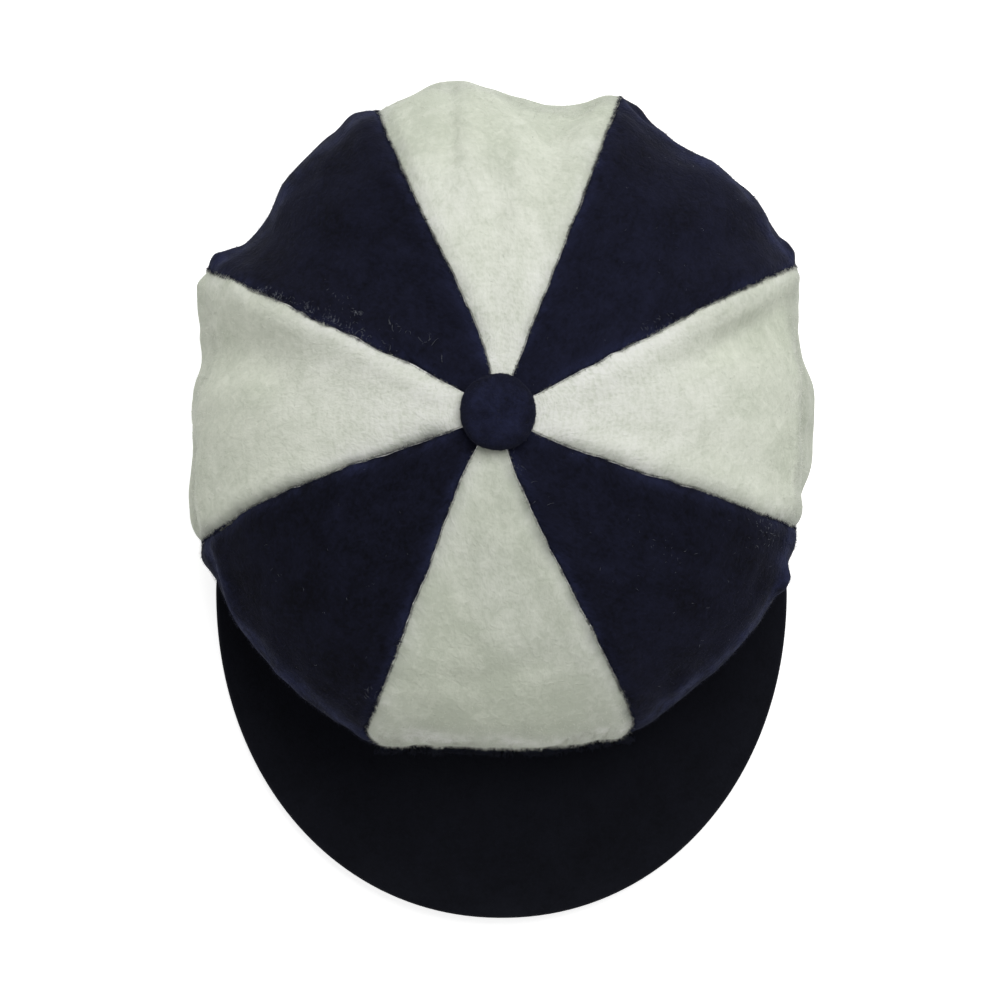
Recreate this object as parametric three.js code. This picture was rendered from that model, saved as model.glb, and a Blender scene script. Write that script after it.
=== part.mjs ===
// A wool cricket cap of eight panels with a covered button and a cloth-covered peak, lying on its rim.
// Millimetres, +Z up. The peak points to -Y, and +X is on the right of a view from above with the peak
// at the bottom. Azimuths are in degrees from +X, turning towards +Y, about the upright axis of the button.

import * as THREE from 'three';

const { clamp, degToRad, euclideanModulo, lerp, smoothstep } = THREE.MathUtils;

// Crown
const CROWN_REACH = 104; // from the button's axis to a seam, where the crown is widest
const CROWN_HEIGHT = 92; // from the table to the cloth under the button
const PANEL_SAG = 2.4; // how far the middle of a panel hangs below the line between its seams
const SAG_ALONG = [0.1, 0.4, 0.5, 0.7]; // where the sag begins, is full, fades and ends, from the eyelet
const WOOL = 2; // one thickness of the panels' cloth
const SEAM_GAP = 0.3; // between neighbouring panels

// Rim, the oval that the head goes into, measured over the cloth
const RIM_HALF_WIDTH = 87.5;
const RIM_HALF_LENGTH = 98;
const RIM_FORWARD = 2; // how far the oval's centre lies in front of the button
const HEM_TURNING = 0.9; // what the turned-up hem adds to the cloth's thickness
const HEM_ALONG = [0.88, 0.93]; // where the turned-up hem thickens the cloth, from the eyelet

// Button and the eyelet where the eight panels meet
const BUTTON_DIAMETER = 23.4;
const BUTTON_HEIGHT = 8.4;
const BUTTON_SEAT = 0.8; // share of the button's radius that rests on the crown
const BUTTON_WIDEST = 0.38; // share of the button's height where it is widest
const BUTTON_ROUNDNESS = 0.6; // of its top: 0.55 makes it a quarter of an ellipse, more makes it fuller
const EYELET_RADIUS = 3.2;
const SHANK_CLEARANCE = 0.7; // round the button's shank, in the eyelet
const SHANK_STUB = 0.6; // how far the shank comes out inside the crown

// Peak
const PEAK_HALF_WIDTH = 94;
const PEAK_DEPTH = 63.2; // from the rim to the tip, along the middle
const PEAK_ASIDE = 1.1; // how far the peak's middle lies to the right of the button
const PEAK_WIDEST = 53.5; // how far in front of the rim's centre the peak is widest
const PEAK_ROUNDNESS = 2.07; // 2 makes the outer edge an ellipse, more makes it squarer
const PEAK_COVER = 1.7; // each of the two cloth covers
const COVER_GAP = 0.3; // between the two covers
const PEAK_ARCH = 14; // rise of the inner edge, from the ends to the middle
const PEAK_TIP_RISE = 7; // rise of the outer edge, from the ends to the tip
const PEAK_FULLNESS = 1.6; // how far the peak is domed between its inner and outer edges
const PEAK_ARCH_POWER = 1.4; // 1 makes the arch a half wave, more makes its feet flatter
const PEAK_END = 22; // degrees in front of the X axis, where each end of the peak lies
const PEAK_CORNER = 9; // degrees over which each rear corner is rounded
const HEM_REST = 4; // degrees that the hem stays level past the end of the peak
const HEM_FALL = 11; // degrees over which it then comes down to the table
const SEAT_GAP = 0.3; // under what is seated: the hem on the peak, and the button on the crown

// Faces
const PANEL_STRIPS = 10;
const PANEL_ROWS = 22;
const PEAK_STRIPS = 40;
const PEAK_ROWS = 7;
const PEAK_CROWDING = 0.09; // how far the strips are drawn together at the peak's rounded corners
const BUTTON_SIDES = 24;
const BUTTON_ARC_STEPS = 5;

const HEM_THICKNESS = WOOL + HEM_TURNING;
const PEAK_THICKNESS = 2 * PEAK_COVER + COVER_GAP;

const navyWool = { color: 0x1c1e31, roughness: 0.95, metalness: 0 };
const creamWool = { color: 0xd3d6c6, roughness: 0.93, metalness: 0 };
const peakWool = { color: 0x111219, roughness: 0.96, metalness: 0 };

// The seams, in order of azimuth. reach is a share of CROWN_REACH. swing turns the seam near the button,
// and bow bends it halfway out, both in degrees. What is said to be along the crown goes from 0 at the
// eyelet to 1 at the rim.
const SEAMS = [
  { name: 'right front', azimuth: -20.5, reach: 0.975, swing: -11, bow: 0 },
  { name: 'right back', azimuth: 26.5, reach: 1.022, swing: -2, bow: 0.8 },
  { name: 'back right', azimuth: 69.2, reach: 1.046, swing: 0, bow: -0.6 },
  { name: 'back left', azimuth: 111.5, reach: 1.0, swing: -18, bow: 0 },
  { name: 'left back', azimuth: 153.2, reach: 1.0, swing: -5, bow: 0 },
  { name: 'left front', azimuth: 203.1, reach: 0.99, swing: 0, bow: -3.5 },
  { name: 'front left', azimuth: 247.2, reach: 1.054, swing: -13, bow: 0 },
  { name: 'front right', azimuth: 294.2, reach: 1.042, swing: -15, bow: 0 },
];

// The panels, each from the seam with its index to the next. belly and lean are shares of CROWN_REACH:
// belly pushes the middle of the outline out, and lean pushes its first half out and its second half in.
const PANELS = [
  { name: 'right', cloth: creamWool, belly: 0.026, lean: 0 },
  { name: 'back_right', cloth: navyWool, belly: 0.062, lean: 0.008 },
  { name: 'back', cloth: creamWool, belly: 0.046, lean: -0.026 },
  { name: 'back_left', cloth: navyWool, belly: 0.034, lean: 0.02 },
  { name: 'left', cloth: creamWool, belly: 0.032, lean: -0.01 },
  { name: 'front_left', cloth: navyWool, belly: 0.076, lean: -0.006 },
  { name: 'front', cloth: creamWool, belly: 0.053, lean: 0.004 },
  { name: 'front_right', cloth: navyWool, belly: 0.092, lean: -0.006 },
];

// The crown's section from the eyelet to the rim. shoulder and rim are shares of the reach at the crown's
// widest line and at the rim, and up is a share of the height above the hem.
const SECTION = [
  { place: 'eyelet', shoulder: EYELET_RADIUS / CROWN_REACH, rim: 0, up: 1 },
  { place: 'under the button', shoulder: 0.13, rim: 0, up: 0.998 },
  { place: 'top', shoulder: 0.36, rim: 0, up: 0.97 },
  { place: 'middle', shoulder: 0.59, rim: 0, up: 0.908 },
  { place: 'slope', shoulder: 0.78, rim: 0, up: 0.812 },
  { place: 'turn', shoulder: 0.925, rim: 0, up: 0.672 },
  { place: 'shoulder', shoulder: 1, rim: 0, up: 0.49 },
  { place: 'under the shoulder', shoulder: 0.84, rim: 0.16, up: 0.32 },
  { place: 'wall', shoulder: 0.4, rim: 0.6, up: 0.15 },
  { place: 'rim', shoulder: 0, rim: 1, up: 0 },
];

// Dents and folds. across goes from 0 to 1 over the panel. width is a share of a panel and length a share
// of the way from the eyelet to the rim. depth is a share of CROWN_REACH, and below 0 it is a bulge.
const FOLDS = [
  { panel: 'back', across: 0.27, along: 0.63, width: 0.16, length: 0.16, depth: 0.03 },
  { panel: 'back', across: 0.69, along: 0.6, width: 0.11, length: 0.18, depth: -0.02 },
  { panel: 'back', across: 0.5, along: 0.86, width: 0.2, length: 0.08, depth: 0.034 },
  { panel: 'back_left', across: 0.74, along: 0.65, width: 0.16, length: 0.19, depth: 0.034 },
  { panel: 'back_left', across: 0.1, along: 0.58, width: 0.08, length: 0.15, depth: -0.024 },
  { panel: 'back_left', across: 0.33, along: 0.84, width: 0.2, length: 0.09, depth: 0.024 },
  { panel: 'left', across: 0.2, along: 0.52, width: 0.12, length: 0.17, depth: 0.022 },
  { panel: 'left', across: 0.87, along: 0.68, width: 0.12, length: 0.1, depth: -0.02 },
  { panel: 'left', across: 0.45, along: 0.86, width: 0.25, length: 0.08, depth: 0.03 },
  { panel: 'front_left', across: 0.55, along: 0.82, width: 0.18, length: 0.1, depth: 0.04 },
  { panel: 'front', across: 0.45, along: 0.79, width: 0.22, length: 0.1, depth: 0.026 },
  { panel: 'front_right', across: 0.48, along: 0.82, width: 0.18, length: 0.1, depth: 0.04 },
  { panel: 'right', across: 0.47, along: 0.7, width: 0.36, length: 0.05, depth: 0.02 },
  { panel: 'right', across: 0.4, along: 0.81, width: 0.36, length: 0.09, depth: -0.066 },
  { panel: 'right', across: 0.8, along: 0.5, width: 0.11, length: 0.15, depth: 0.02 },
  { panel: 'back_right', across: 0.7, along: 0.66, width: 0.13, length: 0.14, depth: 0.024 },
];

const sectionCurve = new THREE.CatmullRomCurve3(
  SECTION.map((row) => new THREE.Vector3(row.shoulder, row.rim, row.up)),
  false,
  'catmullrom',
  0.5,
);

// A seam by any whole number, with its azimuth carried on past a full turn.
function seamAt(index) {
  const turns = Math.floor(index / SEAMS.length);
  const seam = SEAMS[index - turns * SEAMS.length];
  return { ...seam, azimuth: seam.azimuth + 360 * turns };
}

// Reach of the rim's oval at an azimuth.
function rimReach(azimuth) {
  const across = Math.cos(degToRad(azimuth));
  const ahead = Math.sin(degToRad(azimuth));
  const a = (across / RIM_HALF_WIDTH) ** 2 + (ahead / RIM_HALF_LENGTH) ** 2;
  const b = (2 * RIM_FORWARD * ahead) / RIM_HALF_LENGTH ** 2;
  const c = (RIM_FORWARD / RIM_HALF_LENGTH) ** 2 - 1;
  return (-b + Math.sqrt(b * b - 4 * a * c)) / (2 * a);
}

// Reach of the crown where it is widest: straight from seam to seam, and then bellied.
function shoulderReach(panelIndex, across) {
  const corners = [seamAt(panelIndex), seamAt(panelIndex + 1)];
  const [from, to] = corners.map(({ azimuth, reach }) =>
    new THREE.Vector2(reach * CROWN_REACH, 0).rotateAround(new THREE.Vector2(), degToRad(azimuth)),
  );
  const azimuth = degToRad(lerp(corners[0].azimuth, corners[1].azimuth, across));
  const direction = new THREE.Vector2(Math.cos(azimuth), Math.sin(azimuth));
  const chord = to.clone().sub(from);
  const straight = from.cross(chord) / direction.cross(chord);
  const { belly, lean } = PANELS[euclideanModulo(panelIndex, PANELS.length)];
  const bulge = belly * Math.sin(Math.PI * across) + lean * Math.sin(2 * Math.PI * across);
  return straight + CROWN_REACH * bulge;
}

// From 0 at each end of the peak to 1 in its middle, and 0 past the ends.
function archShare(azimuth) {
  const fromEnd = 90 - PEAK_END - Math.abs(azimuthFromFront(azimuth));
  return fromEnd <= 0 ? 0 : Math.sin((Math.PI / 2) * (fromEnd / (90 - PEAK_END))) ** PEAK_ARCH_POWER;
}

// Degrees from the front, -Y, between -180 and 180.
function azimuthFromFront(azimuth) {
  return euclideanModulo(azimuth + 90 + 180, 360) - 180;
}

// Height of the crown's lower edge: on the peak at the front, and on the table elsewhere.
function hemHeight(azimuth) {
  const pastEnd = Math.abs(azimuthFromFront(azimuth)) - (90 - PEAK_END);
  const onPeak = PEAK_THICKNESS + SEAT_GAP;
  if (pastEnd <= 0) return PEAK_ARCH * archShare(azimuth) + onPeak;
  return onPeak * (1 - smoothstep(pastEnd, HEM_REST, HEM_REST + HEM_FALL));
}

// Azimuth at a place on the crown. girth counts panels round the crown, so its whole numbers are seams.
function crownAzimuth(girth, outward) {
  const panelIndex = Math.floor(girth);
  const [from, to] = [seamAt(panelIndex), seamAt(panelIndex + 1)].map(
    ({ azimuth, swing, bow }) => azimuth + swing * (1 - outward) ** 3 + 4 * bow * outward * (1 - outward),
  );
  return lerp(from, to, girth - panelIndex);
}

// How deep the folds are pressed in at a place.
function foldDepth(girth, along) {
  const total = FOLDS.reduce((sum, fold) => {
    const centre = PANELS.findIndex(({ name }) => name === fold.panel) + fold.across;
    const half = PANELS.length / 2;
    const aside = (euclideanModulo(girth - centre + half, PANELS.length) - half) / fold.width;
    const below = (along - fold.along) / fold.length;
    return sum + fold.depth * Math.exp(-(aside ** 2) - below ** 2);
  }, 0);
  return CROWN_REACH * total;
}

// The crown before its folds are pressed in.
function plainCrown(girth, along) {
  const section = sectionCurve.getPoint(clamp(along, 0, 1));
  const outward = Math.min(1, section.x + section.y);
  const panelIndex = Math.floor(girth);
  const across = girth - panelIndex;
  const faceted = smoothstep(section.x + section.y, 0.1, 0.9); // round near the button, eight-sided outside
  const shoulder = lerp(CROWN_REACH, shoulderReach(panelIndex, across), faceted);
  const rimAzimuth = lerp(seamAt(panelIndex).azimuth, seamAt(panelIndex + 1).azimuth, across);
  const reach = section.x * shoulder + section.y * rimReach(rimAzimuth);
  const azimuth = degToRad(crownAzimuth(girth, outward));
  const [sagBegins, sagIsFull, sagFades, sagEnds] = SAG_ALONG;
  const sagShare = smoothstep(along, sagBegins, sagIsFull) * (1 - smoothstep(along, sagFades, sagEnds));
  const sag = PANEL_SAG * Math.sin(Math.PI * across) * sagShare;
  const height = lerp(hemHeight(rimAzimuth), CROWN_HEIGHT, section.z) - sag;
  return new THREE.Vector3(reach * Math.cos(azimuth), reach * Math.sin(azimuth), height);
}

// The outward direction of a surface at a place, from small steps along and across it.
function facing(surface, girth, along) {
  const [girthStep, alongStep] = [0.02, 0.008];
  const below = surface(girth, Math.min(1, along + alongStep));
  const above = surface(girth, Math.max(0, along - alongStep));
  const round = surface(girth + girthStep, along).sub(surface(girth - girthStep, along));
  return below.sub(above).cross(round).normalize();
}

// The crown with its folds, which fade out at the rim and under the button.
function crown(girth, along) {
  const fade = (1 - smoothstep(along, 0.9, 1)) * smoothstep(along, 0.05, 0.25);
  const outwards = facing(plainCrown, girth, along);
  return plainCrown(girth, along).addScaledVector(outwards, -fade * foldDepth(girth, along));
}

// A closed shell between an outer and an inner face. place(i, j) gives the two points of a grid corner.
function shell(strips, rows, place) {
  const outer = [];
  const inner = [];
  for (let i = 0; i <= strips; i += 1) {
    for (let j = 0; j <= rows; j += 1) {
      const [front, back] = place(i, j);
      outer.push(front.x, front.y, front.z);
      inner.push(back.x, back.y, back.z);
    }
  }
  const layer = (strips + 1) * (rows + 1); // from a point of the outer face to the one behind it
  const out = (i, j) => i * (rows + 1) + j;
  const faces = [];
  const quad = (a, b, c, d) => faces.push(a, b, c, a, c, d);
  for (let i = 0; i < strips; i += 1) {
    for (let j = 0; j < rows; j += 1) {
      const corners = [out(i, j), out(i, j + 1), out(i + 1, j + 1), out(i + 1, j)];
      quad(...corners);
      quad(...corners.map((corner) => corner + layer).reverse());
    }
  }
  const wall = (from, to) => quad(from, from + layer, to + layer, to);
  for (let j = 0; j < rows; j += 1) {
    wall(out(0, j), out(0, j + 1));
    wall(out(strips, j + 1), out(strips, j));
  }
  for (let i = 0; i < strips; i += 1) {
    wall(out(i + 1, 0), out(i, 0));
    wall(out(i, rows), out(i + 1, rows));
  }
  const geometry = new THREE.BufferGeometry();
  geometry.setAttribute('position', new THREE.Float32BufferAttribute([...outer, ...inner], 3));
  geometry.setIndex(faces);
  geometry.computeVertexNormals();
  return geometry;
}

function mesh(name, geometry, cloth) {
  const made = new THREE.Mesh(geometry, new THREE.MeshStandardMaterial(cloth));
  made.name = name;
  return made;
}

function crownPanel(panel, index) {
  const place = (i, j) => {
    const along = j / PANEL_ROWS;
    const middle = crown(index + 0.5, along);
    const girthOfGap = (SEAM_GAP / 2) / (Math.hypot(middle.x, middle.y) * degToRad(360 / PANELS.length));
    const girth = lerp(index + girthOfGap, index + 1 - girthOfGap, i / PANEL_STRIPS);
    const outer = crown(girth, along);
    const thickness = lerp(WOOL, HEM_THICKNESS, smoothstep(along, ...HEM_ALONG));
    const inner = outer.clone().addScaledVector(facing(crown, girth, along), -thickness);
    if (j === PANEL_ROWS) inner.z = outer.z;
    return [outer, inner];
  };
  return mesh(`crown_panel_${panel.name}`, shell(PANEL_STRIPS, PANEL_ROWS, place), panel.cloth);
}

// Reach of the peak's outer edge at an azimuth: a superellipse in front of its widest line, and straight
// back behind it. The superellipse is met by halving the stretch that holds its edge.
function peakEdge(azimuth) {
  const across = Math.cos(degToRad(azimuth));
  const ahead = -Math.sin(degToRad(azimuth));
  const widest = RIM_FORWARD + PEAK_WIDEST;
  const frontLength = RIM_FORWARD + RIM_HALF_LENGTH + PEAK_DEPTH - widest;
  const outside = (reach) =>
    (Math.abs(reach * across - PEAK_ASIDE) / PEAK_HALF_WIDTH) ** PEAK_ROUNDNESS +
      (Math.max(0, reach * ahead - widest) / frontLength) ** PEAK_ROUNDNESS > 1;
  let [near, far] = [0, 2 * (PEAK_HALF_WIDTH + frontLength + widest)];
  while (far - near > 0.001) {
    const middle = (near + far) / 2;
    if (outside(middle)) far = middle;
    else near = middle;
  }
  return near;
}

// A point of the peak's underside. out goes from 0 at the inner edge to 1 at the outer edge.
function peakUnderside(azimuth, out) {
  const fromEnd = 90 - PEAK_END - Math.abs(azimuthFromFront(azimuth));
  const corner = Math.sqrt(1 - (1 - Math.min(1, Math.max(0, fromEnd) / PEAK_CORNER)) ** 2);
  const inner = rimReach(azimuth) - HEM_THICKNESS;
  const depth = Math.max(HEM_THICKNESS, corner * (peakEdge(azimuth) - inner));
  const reach = inner + depth * out;
  const arch = archShare(azimuth);
  const height = arch * (lerp(PEAK_ARCH, PEAK_TIP_RISE, out) + PEAK_FULLNESS * Math.sin(Math.PI * out));
  return new THREE.Vector3(reach * Math.cos(degToRad(azimuth)), reach * Math.sin(degToRad(azimuth)), height);
}

function peakCover(name, lift) {
  const place = (i, j) => {
    const even = i / PEAK_STRIPS;
    const share = even - PEAK_CROWDING * Math.sin(2 * Math.PI * even);
    const azimuth = -90 + (90 - PEAK_END) * (2 * share - 1);
    const under = peakUnderside(azimuth, j / PEAK_ROWS);
    under.z += lift;
    return [under.clone().setZ(under.z + PEAK_COVER), under];
  };
  return mesh(name, shell(PEAK_STRIPS, PEAK_ROWS, place), peakWool);
}

// The covered button with its shank, turned about the upright axis.
function crownButton() {
  const radius = BUTTON_DIAMETER / 2;
  const base = CROWN_HEIGHT + SEAT_GAP;
  const widest = base + BUTTON_WIDEST * BUTTON_HEIGHT;
  const top = base + BUTTON_HEIGHT;
  const shank = EYELET_RADIUS - SHANK_CLEARANCE;
  const outline = new THREE.Path()
    .moveTo(0, CROWN_HEIGHT - WOOL - SHANK_STUB)
    .lineTo(shank, CROWN_HEIGHT - WOOL - SHANK_STUB)
    .lineTo(shank, base)
    .lineTo(BUTTON_SEAT * radius, base)
    .quadraticCurveTo(radius, base, radius, widest)
    .bezierCurveTo(radius, lerp(widest, top, BUTTON_ROUNDNESS), BUTTON_ROUNDNESS * radius, top, 0, top);
  const geometry = new THREE.LatheGeometry(outline.getPoints(BUTTON_ARC_STEPS), BUTTON_SIDES);
  const made = mesh('crown_button', geometry, navyWool);
  made.rotation.x = Math.PI / 2;
  return made;
}

const cap = new THREE.Group();
cap.add(...PANELS.map(crownPanel));
cap.add(crownButton());
cap.add(peakCover('peak_under_cover', 0));
cap.add(peakCover('peak_top_cover', PEAK_COVER + COVER_GAP));

// The origin goes to the middle of the cap's outline, on the table.
const outline = new THREE.Box3().setFromObject(cap, true);
const middle = outline.getCenter(new THREE.Vector3());
cap.position.set(-middle.x, -middle.y, -outline.min.z);

export default cap;
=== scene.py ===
"""Dresses a packed cricket cap: eight napped wool panels, a covered button, a covered peak and loose fibres.

Lengths are in metres, +Z is up, and the peak points to -Y. A place on the crown is given by its girth,
which counts panels round the button so that whole numbers are seams, and by how far it lies along the cloth,
from 0 at the eyelet under the button to 1 at the rim.
"""

import math
from collections import namedtuple

import bpy
import numpy as np
from bpy.props import FloatProperty, FloatVectorProperty, IntProperty, PointerProperty
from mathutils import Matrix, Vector, noise


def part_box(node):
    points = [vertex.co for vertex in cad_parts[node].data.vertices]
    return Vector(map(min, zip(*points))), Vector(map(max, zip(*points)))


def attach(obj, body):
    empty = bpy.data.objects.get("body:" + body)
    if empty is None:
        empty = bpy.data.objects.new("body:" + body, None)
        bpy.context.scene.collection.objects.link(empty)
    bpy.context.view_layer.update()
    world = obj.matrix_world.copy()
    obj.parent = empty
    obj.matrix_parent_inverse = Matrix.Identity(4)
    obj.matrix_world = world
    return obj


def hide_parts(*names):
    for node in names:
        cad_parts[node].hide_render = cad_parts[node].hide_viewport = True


bl_info = {
    "name": "Cricket Cap",
    "version": (1, 0, 0),
    "blender": (4, 5, 0),
    "location": "3D View > Sidebar > Cap",
    "description": "Makes a soft wool cricket cap of eight panels round its packed construction",
    "category": "Object",
}

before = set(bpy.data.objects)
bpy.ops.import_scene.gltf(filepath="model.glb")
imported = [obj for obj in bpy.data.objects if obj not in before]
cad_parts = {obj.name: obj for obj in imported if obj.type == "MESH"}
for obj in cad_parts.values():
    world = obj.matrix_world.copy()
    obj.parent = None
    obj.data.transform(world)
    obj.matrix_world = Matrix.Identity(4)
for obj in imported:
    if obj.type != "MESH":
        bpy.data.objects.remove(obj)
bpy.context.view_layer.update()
BODY = "root"
MM = 0.001
# How deep a fibre's root sits in the cloth.
ROOTED = 0.05 * MM

BUTTON_LOW, BUTTON_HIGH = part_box("crown_button")
PEAK_LOW, PEAK_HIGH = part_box("peak_top_cover")
AXIS = np.array([(BUTTON_LOW.x + BUTTON_HIGH.x) / 2, (BUTTON_LOW.y + BUTTON_HIGH.y) / 2, 0])

# The seams, in order of azimuth in degrees from +X. reach is a share of the crown's reach. swing turns the
# seam near the button, bow bends it halfway out, and tuck turns it where it goes over the shoulder, all in
# degrees. dip is how far the cloth sinks towards the seam, in metres, and the last column, from 0 to 1, is
# painted shade: how much darker the cream wool beside the seam is painted, most where it faces from the
# light.
Seam = namedtuple("Seam", "name azimuth reach swing bow tuck dip soil")
SEAMS = (
    Seam("right front", -20.5, 0.975, -11, 0, 0, 1.9 * MM, 0.2),
    Seam("right back", 26.5, 1.022, -2, 0.8, 0, 0.5 * MM, 0.05),
    Seam("back right", 69.2, 1.046, 0, -0.6, 0, 1.1 * MM, 0.15),
    Seam("back left", 111.5, 1.0, -18, 0, 0, 1.0 * MM, 0.08),
    Seam("left back", 153.2, 1.0, -5, 0, 0, 0.7 * MM, 0.05),
    Seam("left front", 203.1, 0.99, 0, -3.5, 0, 2.6 * MM, 0.62),
    Seam("front left", 247.2, 1.064, -13, 0, 3, 1.2 * MM, 0.15),
    Seam("front right", 294.2, 1.042, -15, 0, -2, 1.5 * MM, 0.52),
)

# The panels, each from the seam with its index to the next. belly pushes the middle of the outline out, and
# lean pushes its first half out and its second half in, both as shares of the crown's reach. tone is painted
# shade and light: how much paler or darker the panel is painted for how light falls on it, and far is
# painted shade added to it towards the shoulder. worn is how far its nap is worn near the button, ridge how
# far its nap is rubbed up and painted with a sheen highlight over the shoulder, and the last column is
# painted shade below that, where the cloth turns under.
Panel = namedtuple("Panel", "name wool belly lean tone far worn ridge dust")
PANELS = (
    Panel("right", "cream_wool", 0.026, 0, 0.03, -0.3, 0.85, 0.1, 0.25),
    Panel("back_right", "navy_wool", 0.056, 0.008, 0.06, 0, 0.12, 1.0, 0),
    Panel("back", "cream_wool", 0.046, -0.026, -0.02, -0.5, 0.65, 0.1, 0.16),
    Panel("back_left", "navy_wool", 0.034, 0.02, -0.06, 0, 0.1, 0.9, 0),
    Panel("left", "cream_wool", 0.032, -0.01, 0.06, -0.16, 0.7, 0.1, 0.1),
    Panel("front_left", "navy_wool", 0.072, 0, -0.22, 0, 0.1, 1.4, 0),
    Panel("front", "cream_wool", 0.036, -0.006, -0.38, -0.12, 0.15, 0.7, 0),
    Panel("front_right", "navy_wool", 0.084, -0.006, -0.08, 0, 0.1, 1.4, 0),
)
PANEL_INDEX = {panel.name: index for index, panel in enumerate(PANELS)}

# The crown's section. shoulder and rim are shares of the reach at the crown's widest line and at the rim,
# and up is a share of the height above the hem.
Station = namedtuple("Station", "place shoulder rim up")
SECTION = (
    Station("eyelet", 0.031, 0, 1),
    Station("under the button", 0.13, 0, 0.998),
    Station("top", 0.36, 0, 0.97),
    Station("middle", 0.59, 0, 0.908),
    Station("slope", 0.78, 0, 0.812),
    Station("turn", 0.925, 0, 0.672),
    Station("shoulder", 1, 0, 0.49),
    Station("under the shoulder", 0.84, 0.16, 0.32),
    Station("wall", 0.4, 0.6, 0.15),
    Station("rim", 0, 1, 0),
)

# Where each form starts, is full, begins to fade and has gone: along the cloth, and for the gathers up the
# button.
STRETCHES = {
    "fold": (0.05, 0.25, 0.9, 1),
    "sag": (0.1, 0.4, 0.5, 0.7),
    "tuck": (0.6, 0.69, 0.8, 0.98),
    "scallop": (0.48, 0.6, 0.72, 0.84),
    "wall fold": (0.66, 0.76, 0.84, 0.92),
    "stray": (0.1, 0.2, 0.85, 1),
    "gather": (0.25, 0.3, 0.36, 0.5),
}

# Smooth noise, by what it makes uneven. wavelength is about how far apart its humps are, in metres, and for
# the stray of a seam it is 1, because that noise takes lengths that are divided already.
Noise = namedtuple("Noise", "wavelength seed")
NOISES = {
    "ripple": Noise(34 * MM, 1),
    "fine ripple": Noise(13 * MM, 2),
    "pucker": Noise(5.5 * MM, 3),
    "stray": Noise(1, 4),
    "scallop": Noise(8 * MM, 5),
    "cover": Noise(21 * MM, 6),
    "fine cover": Noise(7 * MM, 7),
    "button": Noise(8 * MM, 8),
    "fine button": Noise(2.4 * MM, 9),
    "puff": Noise(17 * MM, 10),
    "rubbed": Noise(15 * MM, 12),
    "finely rubbed": Noise(3.6 * MM, 13),
    "rubbed cover": Noise(12 * MM, 14),
    "rubbed button": Noise(4 * MM, 15),
    "wall fold": Noise(19 * MM, 16),
    "ridge": Noise(24 * MM, 17),
    "cloud": Noise(36 * MM, 18),
    "soil": Noise(7 * MM, 19),
}

# Dents and folds. across goes from 0 to 1 over the panel, width is a share of a panel, length a share of the
# way from the eyelet to the rim, and depth a share of the crown's reach. Below 0 it is a bulge.
Fold = namedtuple("Fold", "panel across along width length depth")
FOLDS = (
    Fold("back", 0.27, 0.63, 0.16, 0.16, 0.03),
    Fold("back", 0.69, 0.6, 0.11, 0.18, -0.02),
    Fold("back", 0.5, 0.86, 0.2, 0.08, 0.034),
    Fold("back_left", 0.74, 0.65, 0.16, 0.19, 0.034),
    Fold("back_left", 0.1, 0.58, 0.08, 0.15, -0.024),
    Fold("back_left", 0.33, 0.84, 0.2, 0.09, 0.024),
    Fold("left", 0.26, 0.51, 0.12, 0.17, 0.024),
    Fold("left", 0.87, 0.68, 0.12, 0.1, -0.02),
    Fold("left", 0.45, 0.86, 0.25, 0.08, 0.03),
    Fold("front_left", 0.55, 0.82, 0.18, 0.1, 0.04),
    Fold("front", 0.45, 0.79, 0.22, 0.1, 0.026),
    Fold("front_right", 0.48, 0.82, 0.18, 0.1, 0.04),
    Fold("right", 0.47, 0.7, 0.36, 0.05, 0.02),
    Fold("right", 0.4, 0.81, 0.36, 0.09, -0.066),
    Fold("right", 0.8, 0.5, 0.11, 0.15, 0.02),
    Fold("back_right", 0.7, 0.66, 0.13, 0.14, 0.024),
)

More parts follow.
